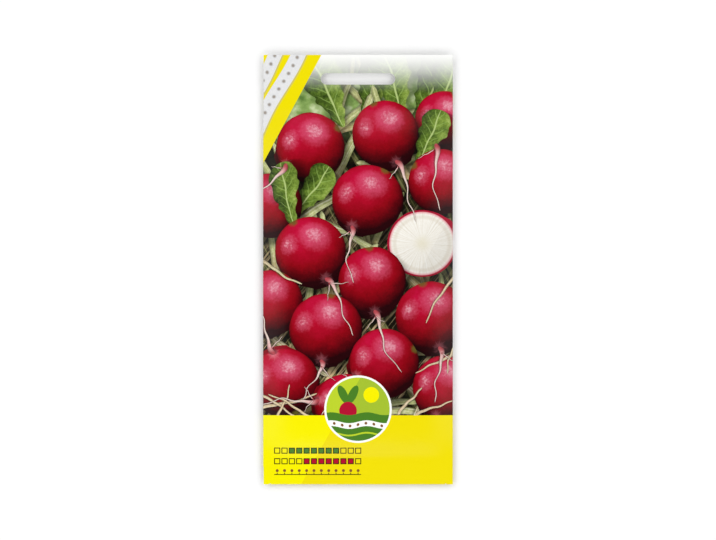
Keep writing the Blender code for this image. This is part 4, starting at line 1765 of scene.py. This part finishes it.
@dataclass
class FoldedTape:
    """A seed tape of two tissues, folded to and fro over itself, with seeds between them."""

    node: str
    first_seed: float
    layers: int = 8
    run: tuple[float, float] = (-68.0 * MM, 52.0 * MM)
    base: float = 0.31 * MM
    pitch: float = 0.2 * MM
    thickness: float = 0.1 * MM
    seed_height: float = 1.35 * MM
    seed_reach: float = 2.1 * MM
    seed_steps: int = 8
    tent: float = 1.75 * MM
    tent_reach: float = 10.0 * MM
    step: float = 2.5 * MM
    fold_steps: int = 6
    columns: tuple[float, ...] = (-8.0, -4.5, -2.1, -1.4, -0.7, 0.0, 0.7, 1.4, 2.1, 4.5, 8.0)

    def __post_init__(self) -> None:
        """Follows the seeds to and fro along the runs."""
        self.length = self.run[1] - self.run[0]
        places = np.arange(self.first_seed, self.layers * self.length, SEED_PITCH * MM)
        self.seeds = [(int(place // self.length), place) for place in places]

    def to_y(self, layer: int, along: float | np.ndarray) -> float | np.ndarray:
        """Where a place along the tape lies, on one of its layers."""
        inside = along - layer * self.length
        return self.run[1] - inside if layer % 2 else self.run[0] + inside

    def height(self, layer: int, y: float | np.ndarray) -> float | np.ndarray:
        """Works out the middle height of one layer, lifted over the seeds below it.

        Args:
            layer: the layer.
            y: places along the packet.

        Returns:
            The heights.
        """
        lift = 0.0 * y
        for seed_layer, place in self.seeds:
            if seed_layer < layer:
                share = share_between(self.tent_reach, 0.0, np.abs(y - self.to_y(seed_layer, place)))
                lift = lift + share * share * (3.0 - 2.0 * share)
        return self.base + layer * self.pitch + self.tent * lift

    def path(self) -> np.ndarray:
        """Follows the tape's middle line.

        Returns:
            Y, height, length so far, length round a fold, and 1 or -1 as its first side faces up or down.
        """
        rows = []
        fine = np.linspace(-self.seed_reach, self.seed_reach, self.seed_steps + 1)
        for layer in range(self.layers):
            way = -1.0 if layer % 2 else 1.0
            ends = (layer * self.length, (layer + 1) * self.length)
            along = np.linspace(*ends, round(self.length / self.step) + 1)
            for seed in [place for seed_layer, place in self.seeds if seed_layer == layer]:
                clear = along[np.abs(along - seed) > self.seed_reach + MM]
                along = np.sort(np.append(clear, seed + fine))
            y = self.to_y(layer, along)
            rows += zip(y, self.height(layer, y), along, 0.0 * y, np.full_like(y, way))
            if layer + 1 < self.layers:
                lower, upper = (self.height(side, y[-1]) for side in (layer, layer + 1))
                radius = (upper - lower) / 2
                for turn in np.arange(1, self.fold_steps) / self.fold_steps:
                    out, rise = radius * math.sin(math.pi * turn), rounded(lower, upper, turn)
                    rows.append((y[-1] + way * out, rise, along[-1], math.pi * turn * radius, 0.0))
        return np.array(rows)

    def build(self, material: bpy.types.Material) -> bpy.types.Object:
        """Makes the ribbon with its two faces and its edges.

        Args:
            material: the tissue.

        Returns:
            The tape.
        """
        path = self.path()
        low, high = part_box(self.node)
        across = np.array(self.columns) * MM
        across *= (high.x - low.x) / (across[-1] - across[0])
        heading = np.gradient(path[:, :2], axis=0)
        heading /= np.hypot(*heading.T)[:, None]
        to_seed = path[:, 2] - self.first_seed
        to_seed = to_seed - np.round(to_seed / (SEED_PITCH * MM)) * SEED_PITCH * MM
        reach = np.hypot(to_seed[:, None], across) / self.seed_reach
        bump = self.seed_height * (1.0 - np.minimum(reach, 1.0) ** 2) ** 1.5
        sides = []
        for side in (1.0, -1.0):
            y = path[:, 0] - side * heading[:, 1] * self.thickness / 2
            z = path[:, 1] + side * heading[:, 0] * self.thickness / 2
            raised = z[:, None] + bump * (path[:, 4] == side)[:, None]
            sides.append(column_of((low.x + high.x) / 2 + across, y[:, None], raised).reshape(-1, 3))
        top = np.arange(len(sides[0])).reshape(bump.shape)
        under = top + top.size
        sides_and_ends = (
            (top[:, 0], under[:, 0]), (under[:, -1], top[:, -1]), (under[0], top[0]), (top[-1], under[-1]),
        )
        grids = [top, under[::-1], *map(np.array, sides_and_ends)]
        faces = np.vstack([corners(grid).reshape(-1, 4) for grid in grids])
        along = (path[:, 2, None] - self.first_seed) / MM
        flat = np.tile(column_of(across / MM, along, path[:, 3, None] / MM).reshape(-1, 3), (2, 1))
        tape = mesh_object(f"folded_{self.node}", np.vstack(sides), flat, faces, [material])
        soften(tape.data)
        return tape


# Studio


@dataclass(frozen=True)
class Studio:
    """A plain pale table with soft light from all sides, and the camera straight above.

    No light comes from right above, where it would glare in the paper's gloss.
    """

    frame_width_px: float = 716.0
    packet_width_px: float = 189.7
    packet_offset_px: tuple[float, float] = (0.0, 0.3)
    packet_plane: float = 0.0017
    lens: float = 358.0
    sensor: float = 36.0
    table_reach: float = 1.5
    table_drop: float = 0.0001
    table_shade: float = 0.88
    dome_strength: float = 1.87
    dome_stops: tuple[tuple[float, float], ...] = (
        (0.0, 0.22), (0.30, 0.36), (0.50, 1.0), (0.78, 1.0), (0.92, 0.05), (1.0, 0.02)
    )

    def build(self, measures: Measures) -> None:
        """Makes the table, the light and the camera.

        Args:
            measures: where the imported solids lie.
        """
        self.lay_table()
        self.hang_dome()
        self.set_camera(measures)

    def lay_table(self) -> None:
        """Makes the pale table."""
        reach = self.table_reach
        mesh = bpy.data.meshes.new("table")
        spots = [(-reach, -reach, 0.0), (reach, -reach, 0.0), (reach, reach, 0.0), (-reach, reach, 0.0)]
        mesh.from_pydata(spots, [], [(0, 1, 2, 3)])
        table = bpy.data.objects.new("table", mesh)
        table.location.z = -self.table_drop
        bpy.context.scene.collection.objects.link(table)
        material = bpy.data.materials.new("pale table")
        material.use_nodes = True
        shader = material.node_tree.nodes["Principled BSDF"]
        shader.inputs["Base Color"].default_value = (*[self.table_shade] * 3, 1.0)
        shader.inputs["Roughness"].default_value = 1.0
        shader.inputs["Specular IOR Level"].default_value = 0.0
        mesh.materials.append(material)

    def hang_dome(self) -> None:
        """Lights the table evenly from low down all round."""
        world = bpy.data.worlds.new("soft light")
        world.use_nodes = True
        tree = world.node_tree
        up = add_node(tree, "SeparateXYZ", {0: add_node(tree, "TexCoord", {}, "Generated")}, "Z")
        background = tree.nodes["Background"]
        stops = [(height, Ink.grey(share)) for height, share in self.dome_stops]
        feed(tree, background.inputs["Color"], up.ramp(stops))
        background.inputs["Strength"].default_value = self.dome_strength
        bpy.context.scene.world = world

    def set_camera(self, measures: Measures) -> None:
        """Looks straight down from far off, with the packet at its place in the frame.

        Args:
            measures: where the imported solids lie.
        """
        scene = bpy.context.scene
        scale = 2 * measures.half_width / self.packet_width_px
        camera = bpy.data.cameras.new("camera")
        camera.lens = self.lens
        camera.sensor_width = self.sensor
        distance = self.lens / self.sensor * scale * self.frame_width_px
        view = bpy.data.objects.new("camera", camera)
        right, up = self.packet_offset_px
        view.location = (-right * scale, -up * scale, self.packet_plane + distance)
        scene.collection.objects.link(view)
        scene.camera = view
        scene.view_settings.view_transform = "Standard"


def fit(piece: bpy.types.Object, node: str) -> None:
    """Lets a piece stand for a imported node, and reports it.

    Args:
        piece: the piece.
        node: the node that it replaces.
    """
    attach(piece, "root")
    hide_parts(node)
    LOG.info("%s: %d faces", piece.name, len(piece.data.polygons))


def main() -> None:
    """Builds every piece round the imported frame."""
    logging.basicConfig(level=logging.INFO, format="%(message)s")
    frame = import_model()
    measures = Measures.from_frame()
    Studio().build(measures)
    layers = PressedLayers(measures, frame["nodes"]["paper_bag"])
    for part in PaperBag(layers).build():
        fit(part, "paper_bag")
    tissue = Finish("tape tissue", 0.9, 0.12, 0.04).dress(draw_tissue)
    for node, first_seed in FIRST_SEEDS.items():
        fit(FoldedTape(node, first_seed).build(tissue), node)
    glue = Finish("dried glue", 0.42, 0.45, 0.03, is_folded_sheet=False).dress(draw_glue)
    for node in GLUE_LINES:
        frame["nodes"][node].material_slots[0].material = glue
        LOG.info("%s: dressed", node)


if __name__ == "__main__":
    main()
